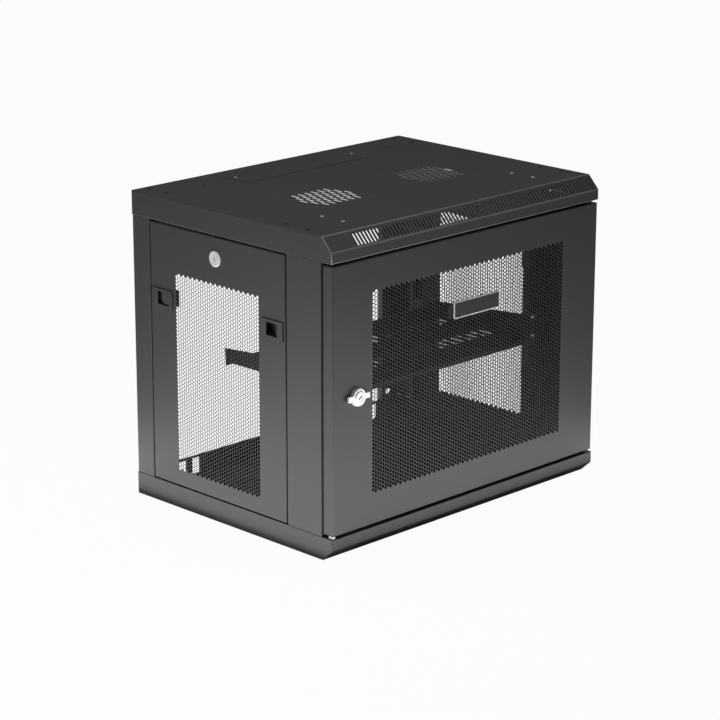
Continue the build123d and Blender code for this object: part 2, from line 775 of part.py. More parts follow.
def make_latch_housing(middle, towards):
    """A bezel, a box behind the panel, a window for a finger and a slot for the tongue."""
    plane = Plane(origin=(-half_width, middle, latch_z), x_dir=(0, 1, 0), z_dir=(-1, 0, 0))
    bezel = extrude(plane * Rectangle(bezel_length, bezel_height), amount=bezel_thickness)
    box = latch_block(middle, towards, (-latch_box_far, latch_box_near), (0, latch_box_depth),
                      latch_box_height)
    cavity = latch_block(middle, towards,
                         (-latch_box_far + latch_box_wall, latch_box_near - latch_box_wall),
                         (latch_box_wall, latch_box_depth - latch_box_wall),
                         latch_box_height - 2 * latch_box_wall)
    window_low = latch_window_offset - latch_window_length / 2
    window = latch_block(middle, towards, (window_low, window_low + latch_window_length),
                         (-2 * bezel_thickness, latch_box_wall + 0.1), latch_window_height)
    slot = latch_block(middle, towards, (0, latch_box_near + latch_box_wall),
                       (tongue_outer - slider_play, tongue_outer + tongue_thickness + slider_play),
                       tongue_width + 2 * slider_play)
    return bezel + box - cavity - window - slot


def make_latch_slider(middle, towards):
    """A block with a finger pocket, and the tongue that slides behind the post's ledge."""
    start = -latch_box_far + latch_box_wall + slider_play
    outer_depth = latch_box_wall + slider_play
    inner_depth = latch_box_depth - latch_box_wall - slider_play
    height = latch_box_height - 2 * latch_box_wall - 2 * slider_play
    body = latch_block(middle, towards, (start, start + slider_length), (outer_depth, inner_depth), height)
    pocket = latch_block(middle, towards, (start + slider_wall, start + slider_length - slider_wall),
                         (outer_depth - slider_wall, outer_depth + slider_pocket), height - 2 * slider_wall)
    tongue = latch_block(middle, towards, (start + slider_length - slider_wall / 2, latch_box_near),
                         (tongue_outer, tongue_outer + tongue_thickness), tongue_width)
    return body - pocket + tongue


shelf_screws, cage_nuts = shelf_fixings()
lower_foot = make_lower_foot()

pieces["top_cover"] = make_top_cover()
pieces["bottom_cover"] = make_bottom_cover()
add_pair("front_post", make_front_post())
add_pair("rear_post", make_rear_post())
add_pair("rack_rail", make_rail())
add_pair("lower_rail_foot", lower_foot)
add_pair("upper_rail_foot", flipped(lower_foot))
pieces["top_entry_plate"] = make_entry_plate(cabinet_height)
pieces["bottom_entry_plate"] = make_entry_plate(floor_top)
pieces["shelf"] = make_shelf()
pieces["shelf_screws"] = Compound(children=shelf_screws)
pieces["cage_nuts"] = Compound(children=cage_nuts)
pieces["door"] = make_door()
pieces["lower_hinge_pin"] = make_lower_pin()
pieces["upper_hinge_pin"] = make_upper_pin()
pieces["badge_backing"] = make_badge_backing()
pieces["badge_plate"] = make_badge()
pieces["door_lock_body"] = make_door_lock_body()
pieces["door_lock_nut"] = lock_nut(nut_flats, lock_barrel_radius,
                                   (lock_x, front + door_sheet, lock_z), (0, 1, 0))
pieces["door_lock_knob"] = make_knob()
pieces["door_lock_cam"] = make_door_cam()
add_pair("side_panel", make_side_panel())
add_pair("side_lock_body", make_side_lock_body())
add_pair("side_lock_nut", lock_nut(side_nut_flats, side_barrel_radius,
                                   (-half_width + panel_sheet, side_lock_y, side_lock_z), (1, 0, 0)))
add_pair("side_lock_core", make_side_lock_core())
add_pair("side_lock_cam", make_side_cam())
for place, middle, towards in (("front", latch_front_y, -1), ("rear", latch_rear_y, 1)):
    add_pair(place + "_latch_housing", make_latch_housing(middle, towards))
    add_pair(place + "_latch_slider", make_latch_slider(middle, towards))

os.makedirs("parts", exist_ok=True)
for name, shape in pieces.items():
    export_step(shape, "parts/" + name + ".step")
print(len(pieces), "pieces")
print("hinge axis", round(hinge_x, 2), round(hinge_y, 2), "panel pivot z", round(panel_low, 2))
print("door lock", round(lock_x, 2), round(lock_z, 2))
print("side lock", round(side_lock_y, 2), round(side_lock_z, 2))
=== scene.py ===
import json
import math

import bmesh
import bpy
from mathutils import Matrix, Quaternion, Vector


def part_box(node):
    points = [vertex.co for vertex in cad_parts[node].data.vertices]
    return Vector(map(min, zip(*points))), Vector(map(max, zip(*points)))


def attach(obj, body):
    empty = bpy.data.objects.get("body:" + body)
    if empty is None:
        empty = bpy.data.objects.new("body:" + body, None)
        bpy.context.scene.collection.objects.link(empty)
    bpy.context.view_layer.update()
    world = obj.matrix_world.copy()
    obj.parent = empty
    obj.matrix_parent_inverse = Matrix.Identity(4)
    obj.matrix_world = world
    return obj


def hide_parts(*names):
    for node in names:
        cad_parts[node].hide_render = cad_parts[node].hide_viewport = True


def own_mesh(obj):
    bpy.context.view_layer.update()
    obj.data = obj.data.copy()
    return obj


# A wall cabinet of folded, perforated sheet steel. Metres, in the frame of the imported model.
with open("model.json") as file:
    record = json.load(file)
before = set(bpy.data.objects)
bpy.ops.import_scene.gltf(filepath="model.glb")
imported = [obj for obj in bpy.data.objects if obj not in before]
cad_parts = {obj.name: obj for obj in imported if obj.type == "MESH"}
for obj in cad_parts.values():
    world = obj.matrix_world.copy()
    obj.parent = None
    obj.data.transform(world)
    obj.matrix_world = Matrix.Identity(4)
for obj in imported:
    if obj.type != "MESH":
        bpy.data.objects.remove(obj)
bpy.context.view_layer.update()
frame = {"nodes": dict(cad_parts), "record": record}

MM = 0.001
SIDES = (("left", -1), ("right", 1))
TOUCH = MM / 10  # two places nearer than this are one
ALIGNED = 0.999  # the cosine between two directions that count as one

# The material slots of a sheet piece: the flats; the folds and cut edges, in a lighter coat that is a painted
# highlight; and the inner faces, in a darker coat that is painted shade
FLATS = 0
HIGHLIGHT_SLOT = 1
SHADE_SLOT = 2

# The photograph's camera, its angles in degrees and its lens in millimetres
CAMERA_AT = (-2.8523, -2.8451, 1.4127)
CAMERA_AZIMUTH = -44.90
CAMERA_ELEVATION = 16.63
CAMERA_ROLL = 0.09
CAMERA_LENS = 129.87
CAMERA_SENSOR = 36.0
CAMERA_CLIP = 60.0

# Sheet metal
COVER_SHEET = 1.5 * MM
DOOR_SHEET = 0.8 * MM
BEND = 1.4 * MM
BEND_STEPS = 3
FOLD_ANGLE = 0.1  # radians: edges that turn less lie within a flat
HEM = 0.9 * MM
HEM_STEPS = 2
SLOT_ROUND = 0.49  # of a slot's width: the corner radius that makes its ends all but half round

# Covers
TOP_SKIRT = 39.1 * MM
TOP_BEVEL_DROP = 21.7 * MM
BOTTOM_SKIRT = 36.9 * MM
BOTTOM_BEVEL_RISE = 18.1 * MM
BEVEL_RUN = 20.3 * MM
REAR_SKIRT = 35.0 * MM
LIP_DEPTH = 18.0 * MM
LIP_SET_BACK = 1.5 * MM
BEVEL_SLOTS = 70
BEVEL_SLOT_PITCH = 7.04 * MM
BEVEL_SLOT = (3.7 * MM, 20.5 * MM)
BEVEL_SLOT_RISE = -1.6 * MM
BEVEL_SLOTS_X = 2.0 * MM
BEVEL_SLOT_CORNER = 1.0 * MM
REAR_WINDOWS = ((197.0 * MM, 246.0 * MM), (168.0 * MM, 184.0 * MM))
REAR_WINDOW_EDGE = 4.0 * MM
REAR_WINDOW_CORNER = 1.5 * MM
ENTRY = (236.0 * MM, 56.0 * MM)
ENTRY_CORNER = 12.0 * MM
ENTRY_Y = 175.0 * MM
KEEPER_Y = (14.0 * MM, 44.0 * MM)
KEEPER_X = 286.5 * MM
KEEPER_LOW = 448.5 * MM
UNDERSIDE = -0.3  # the upward part of a normal below which a face of the bottom is its underside, which gets the darker coat as painted shade

# Fan vents in the top cover
VENT_X = 114.0 * MM
VENT_Y = -22.0 * MM
VENT_SLOT = (6.3 * MM, 23.0 * MM)
VENT_PITCH = 13.7 * MM
VENT_ROW_PITCH = 16.4 * MM
VENT_ROWS = (6, 7, 8, 7, 6)
FAN_SCREWS = 52.5 * MM
FAN_SCREW_HOLE = 2.2 * MM

# Perforated fields
FIELD_PITCH = 6.04 * MM
FIELD_HOLE = 5.5 * MM
DOOR_HOLE = 5.1 * MM
FIELD_ROWS = 53
DOOR_COLUMNS = 80
DOOR_COLUMN_PITCH = 5.375 * MM
SIDE_COLUMNS = 36
SIDE_COLUMN_PITCH = 5.28 * MM
SIDE_FIELD_Y = 27.9 * MM
SIDE_FIELD_Z = 225.7 * MM

# Side panels
HOOK_REACH = 12.0 * MM
HOOK_WIDTH = 40.0 * MM
HOOK_SPACING = 200.0 * MM
HOOK_INSET = 4.0 * MM
LATCH_HOLE = (40.0 * MM, 26.0 * MM)
LATCH_HOLE_CORNER = 1.0 * MM
SIDE_LOCK_HOLE = 9.2 * MM
PANEL_END_GAP = 1.5 * MM
PANEL_LIP = 3.6 * MM
LIP_END = 8.0 * MM
PANEL_TOP_GAP = 2.3 * MM

# Side locks: the rose's profile as radius and depth, from the bore outwards and back to the barrel
ROSE_PROFILE = (
    (6.1 * MM, 0), (7.6 * MM, 0), (7.9 * MM, -0.8 * MM), (8.7 * MM, -0.8 * MM), (9.0 * MM, 0), (11.6 * MM, 0),
    (12.3 * MM, -0.3 * MM), (12.5 * MM, -0.9 * MM), (12.5 * MM, -2.0 * MM), (9.0 * MM, -2.0 * MM))
LOCK_BARREL = 9.0 * MM
LOCK_BORE = 6.1 * MM
LOCK_CAM_GAP = 0.15 * MM

# Door hinge side
HINGE_X = 290.0 * MM
HINGE_Y = -217.0 * MM
PIN_HOLE = 2.55 * MM
GUIDE_X = (281.5 * MM, 296.9 * MM)
GUIDE_Y = (-224.4 * MM, -211.0 * MM)
GUIDE_Z = (411.7 * MM, 414.7 * MM)
SPRING_TOP = 435.7 * MM
SPRING_RADIUS = 3.6 * MM
SPRING_WIRE = 0.4 * MM
SPRING_TURNS = 7
SPRING_STEPS = 20
PAD_X = (-296.5 * MM, -291.0 * MM)
PAD_Y = (-223.0 * MM, -214.0 * MM)
PAD_HEIGHT = 3.9 * MM
PAD_EDGE = 0.6 * MM
WASHER_RADIUS = 6.5 * MM
WASHER_GAP = 0.3 * MM

# Door knob
KNOB_DISC = 13.4 * MM
KNOB_THICKNESS = 3.8 * MM
KNOB_REACH = 22.2 * MM
KNOB_LUG = 4.5 * MM
KNOB_LUG_STEP = 0.2 * MM
KNOB_GAP = 0.3 * MM
KNOB_EDGE = 0.45 * MM
KNOB_SHARP = 0.5  # radians
KEY_SLOT = (2.3 * MM, 7.4 * MM)
KEY_SLOT_CORNER = 0.7 * MM
KEY_SLOT_TURN = -1.0
KEY_SLOT_DEPTH = 3.0 * MM
SPINDLE = 5.0 * MM

# The knob's face from its edge to the key slot, as insets and rises: the boss, its eased rim, a shallow dish
KNOB_FACE = (
    (3.2 * MM, 0.0), (0.5 * MM, 1.6 * MM), (0.5 * MM, 0.4 * MM), (1.8 * MM, 0.0), (0.3 * MM, -0.5 * MM))

# Latch bezels
BEZEL = (46.6 * MM, 29.6 * MM)
BEZEL_THICKNESS = 1.9 * MM
BEZEL_BULGE = 1.3 * MM
BEZEL_EDGE = 0.25 * MM
BEZEL_SHARP = 0.6  # radians
BEZEL_FRONT = 0.9  # the cosine beyond which a face belongs to the bezel's front; the other faces are near-black nylon as painted shade
BEZEL_WINDOW = (25.0 * MM, 21.0 * MM)
BEZEL_WINDOW_CORNER = 0.8 * MM
BEZEL_WINDOW_SHIFT = {"front": 0.4 * MM, "rear": 3.0 * MM}

# A finger rib's two blocks, in millimetres: near and far end along the slide, top, low edge, high edge
FINGER_RIB = ((-15.3, -3.4, 1.8, -7.4, 10.3), (0.4, 6.6, -1.8, -6.0, 10.3))
FINGER_RIB_ROOT = 10.5
FINGER_RIB_EDGE = 0.4 * MM

# Screws and the blanking plate in the top; a screw head is given as its radius and rise
SCREW_HEAD = (3.6 * MM, 0.9 * MM)
SMALL_SCREW_HEAD = (2.6 * MM, 0.8 * MM)
FLAT_SCREW_HEAD = (3.2 * MM, 0.45 * MM)
SCREW_TWIST = 0.9
FRONT_SCREWS_Y = (-158.0 * MM, -113.0 * MM)
REAR_SCREWS_Y = (169.5 * MM, 211.0 * MM)
OUTER_SCREW_X = 284.0 * MM
INNER_SCREWS_X = (-210.5 * MM, 216.0 * MM)
REAR_SCREW_X = 275.0 * MM
SMALL_SCREWS = ((-199.0 * MM, 168.0 * MM), (213.0 * MM, 169.0 * MM))
PLATE_X = (-135.0 * MM, 140.5 * MM)
PLATE_Y = (136.0 * MM, 213.0 * MM)
PLATE_SHEET = 0.7 * MM
PLATE_CORNER = 3.5 * MM
PLATE_EDGE = 0.15 * MM
PLATE_SCREWS_X = (-125.0 * MM, 135.5 * MM)
PLATE_SCREW_Y = 174.0 * MM

# Parts of a screw head, as shares of its radius and rise
HEAD_FIRST_RISE = 0.55
HEAD_CROWN = ((0.14, 0.3), (0.22, 0.15))
RECESS_SPAN = 1.05
RECESS_WIDTH = 0.24
RECESS_DEPTH = 0.7

# Badge
BADGE_LEFT = -40.5 * MM
BADGE_CORNER = 3.0 * MM
BADGE_EDGE = 0.4 * MM
BADGE_RIM_WIDTH = 1.3 * MM
BADGE_STEP = (0.15 * MM, -0.5 * MM)
BACKING_LEFT = -52.5 * MM
BACKING_CORNER = 1.2 * MM
BACKING_EDGE = 0.2 * MM

# Shelf
SHELF_WALL_X = 215.0 * MM
SHELF_EAR_X = 241.3 * MM
SHELF_FLOOR_Z = 231.78 * MM
SHELF_LIP = 8.3 * MM
SHELF_REAR_TOP = 252.3 * MM
SHELF_SHEET = 1.5 * MM
SHELF_SLOTS = 25
SHELF_SLOT_PITCH = 16.8 * MM
SHELF_SLOT = (5.6 * MM, 36.0 * MM)
SHELF_ROW_SPACING = 97.0 * MM

# Stage
FLOOR_RADIUS = 14.0
FLOOR_DROP = 0.3 * MM
FLOOR_SEEN = 0.96
FLOOR_MIRRORED = 0.1
ROOM_LIGHT = 0.12


# Shader maths

class Term:
    """A number or a socket in one shader, which plain sums turn into Math nodes."""

    def __init__(self, finish, socket):
        self.finish = finish
        self.socket = socket

    def combined(self, operation, first, second):
        node = self.finish.node("ShaderNodeMath", {"operation": operation}, {0: first, 1: second})
        return self.finish.term(node, 0)

    def __add__(self, other):
        return self.combined("ADD", self, other)

    def __radd__(self, other):
        return self.combined("ADD", other, self)

    def __sub__(self, other):
        return self.combined("SUBTRACT", self, other)

    def __rsub__(self, other):
        return self.combined("SUBTRACT", other, self)

    def __mul__(self, other):
        return self.combined("MULTIPLY", self, other)

    def __rmul__(self, other):
        return self.combined("MULTIPLY", other, self)


class Finish:
    """The nodes that make a material or a world."""

    def __init__(self, owner):
        self.owner = owner
        owner.use_nodes = True
        self.tree = owner.node_tree
        self.tree.nodes.clear()

    def node(self, kind, settings=None, sockets=None):
        node = self.tree.nodes.new(kind)
        for key, value in (settings or {}).items():
            setattr(node, key, value)
        for key, value in (sockets or {}).items():
            if isinstance(value, Term):
                self.tree.links.new(value.socket, node.inputs[key])
            else:
                node.inputs[key].default_value = value
        return node

    def term(self, node, output):
        return Term(self, node.outputs[output])

    def noise(self, scale, detail=2.0, roughness=0.5, distortion=0.0):
        place = self.term(self.node("ShaderNodeTexCoord"), "Object")
        node = self.node("ShaderNodeTexNoise", {}, {
            "Vector": place, "Scale": scale, "Detail": detail, "Roughness": roughness,
            "Distortion": distortion})
        return self.term(node, 0)

    def mixed(self, factor, first, second):
        node = self.node("ShaderNodeMix", {"data_type": "RGBA"}, {0: factor, 6: first, 7: second})
        return self.term(node, 2)

    def bump(self, height, strength, distance):
        node = self.node("ShaderNodeBump", {}, {"Strength": strength, "Distance": distance, "Height": height})
        return self.term(node, 0)

    def surface(self, shader, output="ShaderNodeOutputMaterial"):
        self.node(output, {}, {"Surface": self.term(shader, 0)})
        return self.owner


def new_finish(name):
    return Finish(bpy.data.materials.new(name))


def grey(level, warmth=0.0):
    """A grey, or with warmth one that is redder and less blue by that share."""
    return (level * (1 + warmth), level, level * (1 - warmth), 1.0)


def powder_coat(name, level, roughness, specular):
    """Satin black powder coat: a fine pebbled grain, with slow changes of tone and gloss."""
    finish = new_finish(name)
    slow = finish.noise(3.2, 3.0)
    grain = finish.noise(900.0, 3.0, 0.6)
    speck = finish.noise(260.0, 2.0)
    tone = finish.mixed(slow, grey(level * 0.93), grey(level * 1.07))
    colour = finish.mixed(speck * 0.25, tone, grey(level * 1.5))
    shader = finish.node("ShaderNodeBsdfPrincipled", {}, {
        "Base Color": colour, "Roughness": roughness - 0.04 + slow * 0.05 + grain * 0.05,
        "Specular IOR Level": specular, "Normal": finish.bump(grain, 0.25, 0.05 * MM)})
    return finish.surface(shader)


def moulded_plastic(name, level, roughness):
    """Plastic with the fine grain of its mould."""
    finish = new_finish(name)
    grain = finish.noise(1500.0, 2.0, 0.6)
    slow = finish.noise(20.0)
    shader = finish.node("ShaderNodeBsdfPrincipled", {}, {
        "Base Color": finish.mixed(slow, grey(level * 0.85), grey(level * 1.15)),
        "Roughness": roughness - 0.05 + grain * 0.1,
        "Normal": finish.bump(grain, 0.2, 0.04 * MM)})
    return finish.surface(shader)


def plated_metal(name, level, roughness, streaks, warmth=0.0, metallic=1.0):
    """Plated or brushed metal: a cloudy tone and fine scratches."""
    finish = new_finish(name)
    cloud = finish.noise(60.0, 4.0, 0.6)
    scratch = finish.noise(streaks, 2.0, 0.7, 1.5)
    shader = finish.node("ShaderNodeBsdfPrincipled", {}, {
        "Base Color": finish.mixed(cloud, grey(level * 0.88, warmth), grey(level, warmth)),
        "Metallic": metallic, "Roughness": roughness - 0.04 + cloud * 0.08 + scratch * 0.06,
        "Normal": finish.bump(scratch, 0.08, 0.03 * MM)})
    return finish.surface(shader)


COAT = powder_coat("satin_black_powder_coat", level=0.034, roughness=0.44, specular=0.5)
# A lighter copy of the coat for folds, hems and cut edges: a painted highlight where they catch the light.
COAT_PAINTED_HIGHLIGHT = powder_coat("powder_coat_painted_fold_highlight", level=0.15, roughness=0.34, specular=0.6)
# A darker copy of the coat for inner faces, the shelf, the rails and the bottom's underside: painted shade.
COAT_PAINTED_SHADE = powder_coat("powder_coat_painted_shade", level=0.014, roughness=0.58, specular=0.28)
CHROME = plated_metal("satin_chrome", level=0.86, roughness=0.28, streaks=500.0, metallic=0.45)
ZINC = plated_metal("zinc_plate", level=0.6, roughness=0.42, streaks=900.0, warmth=0.01, metallic=0.85)
BLACK_OXIDE = plated_metal("black_oxide", level=0.06, roughness=0.42, streaks=700.0)
LATCH_PLASTIC = moulded_plastic("black_nylon", level=0.006, roughness=0.62)
BEZEL_FACE = moulded_plastic("latch_bezel_nylon", level=0.036, roughness=0.42)
PALE_NYLON = moulded_plastic("pale_nylon", level=0.62, roughness=0.45)
BADGE_RIM = plated_metal("satin_aluminium", level=0.8, roughness=0.35, streaks=600.0, metallic=0.6)
BADGE_FIELD = moulded_plastic("badge_dark_enamel", level=0.028, roughness=0.35)
BACKING = moulded_plastic("badge_backing_plastic", level=0.003, roughness=0.7)


# Mesh helpers

def piece(name, bm, materials, body, slot, *replaced):
    """Makes an object of the finished bmesh, riding on a body and standing for the CAD nodes it replaces."""
    mesh = bpy.data.meshes.new(name)
    bm.to_mesh(mesh)
    bm.free()
    for material in materials:
        mesh.materials.append(material)
    obj = bpy.data.objects.new(name, mesh)
    bpy.context.scene.collection.objects.link(obj)
    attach(obj, body)
    if replaced:
        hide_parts(*replaced)
    return obj


def middle_of(node):
    """The middle of a node's box."""
    low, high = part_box(node)
    return [(start + end) / 2 for start, end in zip(low, high)]


def add_box(bm, low, high):
    """A block between two corners, as new faces in the bmesh."""
    low, high = Vector(low), Vector(high)
    place = Matrix.Translation((low + high) / 2) @ Matrix.Diagonal((*(high - low), 1.0))
    bmesh.ops.create_cube(bm, size=1.0, matrix=place)


def extruded_verts(grown):
    """The vertices among what an extrusion made."""
    return [element for element in grown["geom"] if isinstance(element, bmesh.types.BMVert)]


def ease(bm, edges, radius, steps=2):
    """Takes the sharpness off edges; with one step it cuts them at a slant."""
    return bmesh.ops.bevel(bm, geom=edges, offset=radius, offset_type="OFFSET", affect="EDGES",
                           segments=steps, profile=0.5, material=-1)["faces"]


def bend(bm, edges, radius=BEND, steps=BEND_STEPS, finish=HIGHLIGHT_SLOT):
    """Rounds folds, whose faces get a slot of their own: by default the lighter coat, a painted highlight
    along the folds.
    """
    rounded = bmesh.ops.bevel(bm, geom=edges, offset=radius, offset_type="OFFSET", affect="EDGES",
                              segments=steps, profile=0.5, material=-1, clamp_overlap=True)
    for face in rounded["faces"]:
        face.smooth = True
        face.material_index = finish


def sheet_piece(name, bm, body, replaced):
    """A coated sheet, whose material slots are the flats, the folds in a lighter coat as a painted highlight,
    and the inside in a darker coat as painted shade.
    """
    piece(name, bm, (COAT, COAT_PAINTED_HIGHLIGHT, COAT_PAINTED_SHADE), body, "black_coat", replaced)


def round_outline(radius, sides=16):
    """The wire outline of a round hole."""
    bm = bmesh.new()
    bmesh.ops.create_circle(bm, cap_ends=False, segments=sides, radius=radius,
                            matrix=Matrix.Rotation(math.pi / sides, 4, "Z"))
    return wire(bm)


def hexagon_outline(flats):
    """The wire outline of a six-sided hole by its width across flats, two of which face up and down."""
    bm = bmesh.new()
    bmesh.ops.create_circle(bm, cap_ends=False, segments=6, radius=flats / math.sqrt(3),
                            matrix=Matrix.Rotation(math.pi / 2, 4, "Z"))
    return wire(bm)


def rounded_rectangle(bm, width, height, corner, steps):
    """A flat face with rounded corners, about the origin."""
    bmesh.ops.create_grid(bm, x_segments=1, y_segments=1, size=0.5,
                          matrix=Matrix.Diagonal((width, height, 1.0, 1.0)))
    bmesh.ops.bevel(bm, geom=bm.verts[:], offset=corner, offset_type="OFFSET", affect="VERTICES",
                    segments=steps, profile=0.5, material=-1)


def slot_outline(width, height, corner, steps=3):
    """The wire outline of a rectangular hole with rounded corners."""
    bm = bmesh.new()
    rounded_rectangle(bm, width, height, corner, steps)
    bmesh.ops.delete(bm, geom=bm.faces[:], context="FACES_ONLY")
    return wire(bm)


def wire(bm):
    """The bmesh as a loose mesh, to be copied into others."""
    mesh = bpy.data.meshes.new("outline")
    bm.to_mesh(mesh)
    bm.free()
    return mesh


def copy_into(bm, mesh, step):
    """Adds a copy of a loose mesh, moved by a matrix."""
    mesh.transform(step)
    bm.from_mesh(mesh)
    mesh.transform(step.inverted())


def perforate(bm, face, plane, holes):
    """Refills one flat face around holes: each hole is a wire outline and its places on the plane."""
    rim = list(face.edges)
    normal = face.normal.copy()
    for outline, places in holes:
        for u, v in places:
            copy_into(bm, outline, plane @ Matrix.Translation((u, v, 0)))
    bmesh.ops.delete(bm, geom=[face], context="FACES_ONLY")
    cuts = [edge for edge in bm.edges if not edge.link_faces and edge not in rim]
    bmesh.ops.triangle_fill(bm, use_beauty=True, use_dissolve=False, edges=rim + cuts, normal=normal)


def folds_of(bm):
    """The edges where two faces meet at an angle."""
    return [edge for edge in bm.edges if len(edge.link_faces) == 2 and edge.calc_face_angle() > FOLD_ANGLE]


def facing(bm, direction):
    """The largest flat face that looks in a direction."""
    wanted = Vector(direction).normalized()
    matching = [face for face in bm.faces if face.normal.dot(wanted) > ALIGNED]
    return max(matching, key=lambda face: face.calc_area())


def open_rim(edges):
    """Those of the edges that only one face uses."""
    return [edge for edge in edges if len(edge.link_faces) == 1]


def thicken(bm, sheet, cut_edge_slot=FLATS):
    """Gives an open shell its sheet thickness, inwards; its inner faces take the darker coat as painted
    shade, and the cut edges may take another slot, such as the lighter coat as a painted highlight.
    """
    outside = set(bm.verts)
    bmesh.ops.solidify(bm, geom=bm.faces[:], thickness=sheet)
    for face in bm.faces:
        sides = {vert in outside for vert in face.verts}
        if sides == {False}:
            face.material_index = SHADE_SLOT
        elif cut_edge_slot != FLATS and len(sides) == 2:
            face.material_index = cut_edge_slot


def row_of(count, pitch):
    """The places of a row of like things about its middle."""
    return [(i - (count - 1) / 2) * pitch for i in range(count)]


def staggered(columns, rows, across, pitch, missing):
    """Hole places in upright columns, every second one half a pitch off.

    With missing 1 the odd columns have one hole more than the even ones; with 0 all have the same.
    """
    places = []
    for column, u in enumerate(row_of(columns, across)):
        shift = 0.0 if missing else (0.25 - column % 2 / 2) * pitch
        places += [(u, v + shift) for v in row_of(rows - missing * (1 - column % 2), pitch)]
    return places


def vent_slots():
    """Places of a fan vent's slots: rows of different lengths, each half a pitch off its neighbours."""
    return [(u, v) for count, v in zip(VENT_ROWS, row_of(len(VENT_ROWS), VENT_ROW_PITCH))
            for u in row_of(count, VENT_PITCH)]


def plane_at(origin, across, up):
    """The matrix of a drawing plane from its origin and the directions of its two axes."""
    across, up = Vector(across).normalized(), Vector(up).normalized()
    normal = across.cross(up)
    axes = Matrix((across, up, normal)).transposed().to_4x4()
    return Matrix.Translation(origin) @ axes


# Screws

def cross_outline(span, width):
    """The wire outline of a cross-shaped recess: nine cells, without those in the corners."""
    bm = bmesh.new()
    bmesh.ops.create_grid(bm, x_segments=3, y_segments=3, size=span / 2)
    for vert in bm.verts:
        for axis in (0, 1):
            if abs(vert.co[axis]) < span / 3:
                vert.co[axis] = math.copysign(width / 2, vert.co[axis])
    corners = [face for face in bm.faces if min(abs(face.calc_center_median().x),
                                                abs(face.calc_center_median().y)) > width / 2]
    bmesh.ops.delete(bm, geom=corners, context="FACES")
    seams = [edge for edge in bm.edges if len(edge.link_faces) == 2]
    bmesh.ops.delete(bm, geom=bm.faces[:], context="FACES_ONLY")
    bmesh.ops.delete(bm, geom=seams, context="EDGES")
    return wire(bm)


def sink(bm, face, outline, depth, turn=0.0):
    """Cuts a pocket with a floor into a flat face that looks up, and gives the pocket's faces."""
    known = set(bm.edges)
    place = Matrix.Translation((0, 0, face.verts[0].co.z)) @ Matrix.Rotation(turn, 4, "Z")
    perforate(bm, face, place, [(outline, [(0, 0)])])
    outside = set(bm.faces)
    edges = [edge for edge in open_rim(bm.edges) if edge not in known]
    grown = bmesh.ops.extrude_edge_only(bm, edges=edges)
    fresh = extruded_verts(grown)
    bmesh.ops.translate(bm, verts=fresh, vec=(0, 0, -depth))
    rim = [element for element in grown["geom"] if isinstance(element, bmesh.types.BMEdge)
           and all(vert in fresh for vert in element.verts)]
    bmesh.ops.triangle_fill(bm, use_beauty=True, use_dissolve=False, edges=rim, normal=(0, 0, 1))
    return [face for face in bm.faces if face not in outside]


def screw_head(radius, rise):
    """A pan head with a cross recess, its seat at the origin and its face up."""
    bm = bmesh.new()
    bmesh.ops.create_circle(bm, cap_ends=True, segments=24, radius=radius)
    face = next(iter(bm.faces))
    face.normal_update()
    if face.normal.z < 0:
        bmesh.ops.reverse_faces(bm, faces=[face])
    face = bmesh.ops.extrude_discrete_faces(bm, faces=[face])["faces"][0]
    bmesh.ops.translate(bm, verts=face.verts, vec=(0, 0, HEAD_FIRST_RISE * rise))
    for inset, lift in HEAD_CROWN:
        bmesh.ops.inset_region(bm, faces=[face], thickness=inset * radius, depth=lift * rise,
                               use_even_offset=True)
    for wall in bm.faces:
        wall.smooth = wall is not face
    sink(bm, face, cross_outline(RECESS_SPAN * radius, RECESS_WIDTH * radius), RECESS_DEPTH * rise)
    return wire(bm)


def screws(name, material, head, places, turn=0.0):
    """A set of like screws in the top as one piece, each turned a little further than the last."""
    bm = bmesh.new()
    for index, place in enumerate(places):
        twist = Matrix.Rotation(turn + index * SCREW_TWIST, 4, "Z")
        copy_into(bm, head, Matrix.Translation(place) @ twist)
    piece(name, bm, [material], "cabinet", "zinc")


# Door

def make_door():
    """The pan of perforated sheet, with the guide of the sprung hinge pin."""
    low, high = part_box("door")
    bm = bmesh.new()
    add_box(bm, low, high)
    back = [face for face in bm.faces if face.normal.y > ALIGNED]
    bmesh.ops.delete(bm, geom=back, context="FACES_ONLY")
    folds = [edge for edge in bm.edges if len(edge.link_faces) == 2]
    bend(bm, folds, finish=FLATS)
    middle = (low + high) / 2
    plane = plane_at((middle.x, low.y, middle.z), (1, 0, 0), (0, 0, 1))
    field = staggered(DOOR_COLUMNS, FIELD_ROWS, DOOR_COLUMN_PITCH, FIELD_PITCH, 1)
    perforate(bm, facing(bm, (0, -1, 0)), plane, [(hexagon_outline(DOOR_HOLE), field)])
    drill_for_pin(bm, low.z, high.z)
    thicken(bm, DOOR_SHEET)
    guide = bmesh.new()
    add_box(guide, (GUIDE_X[0], GUIDE_Y[0], GUIDE_Z[0]), (GUIDE_X[1], GUIDE_Y[1], GUIDE_Z[1]))
    drill_for_pin(guide, *GUIDE_Z)
    bmesh.ops.bridge_loops(guide, edges=open_rim(guide.edges))
    bm.from_mesh(wire(guide))
    sheet_piece("door_pan", bm, "door", "door")


def drill_for_pin(bm, bottom, top):
    """Holes for the upper and lower hinge pin in a shape's bottom and top faces."""
    pin_hole = [(round_outline(PIN_HOLE, 24), [(HINGE_X, HINGE_Y)])]
    for z, look in ((bottom, -1), (top, 1)):
        perforate(bm, facing(bm, (0, 0, look)), plane_at((0, 0, z), (1, 0, 0), (0, 1, 0)), pin_hole)


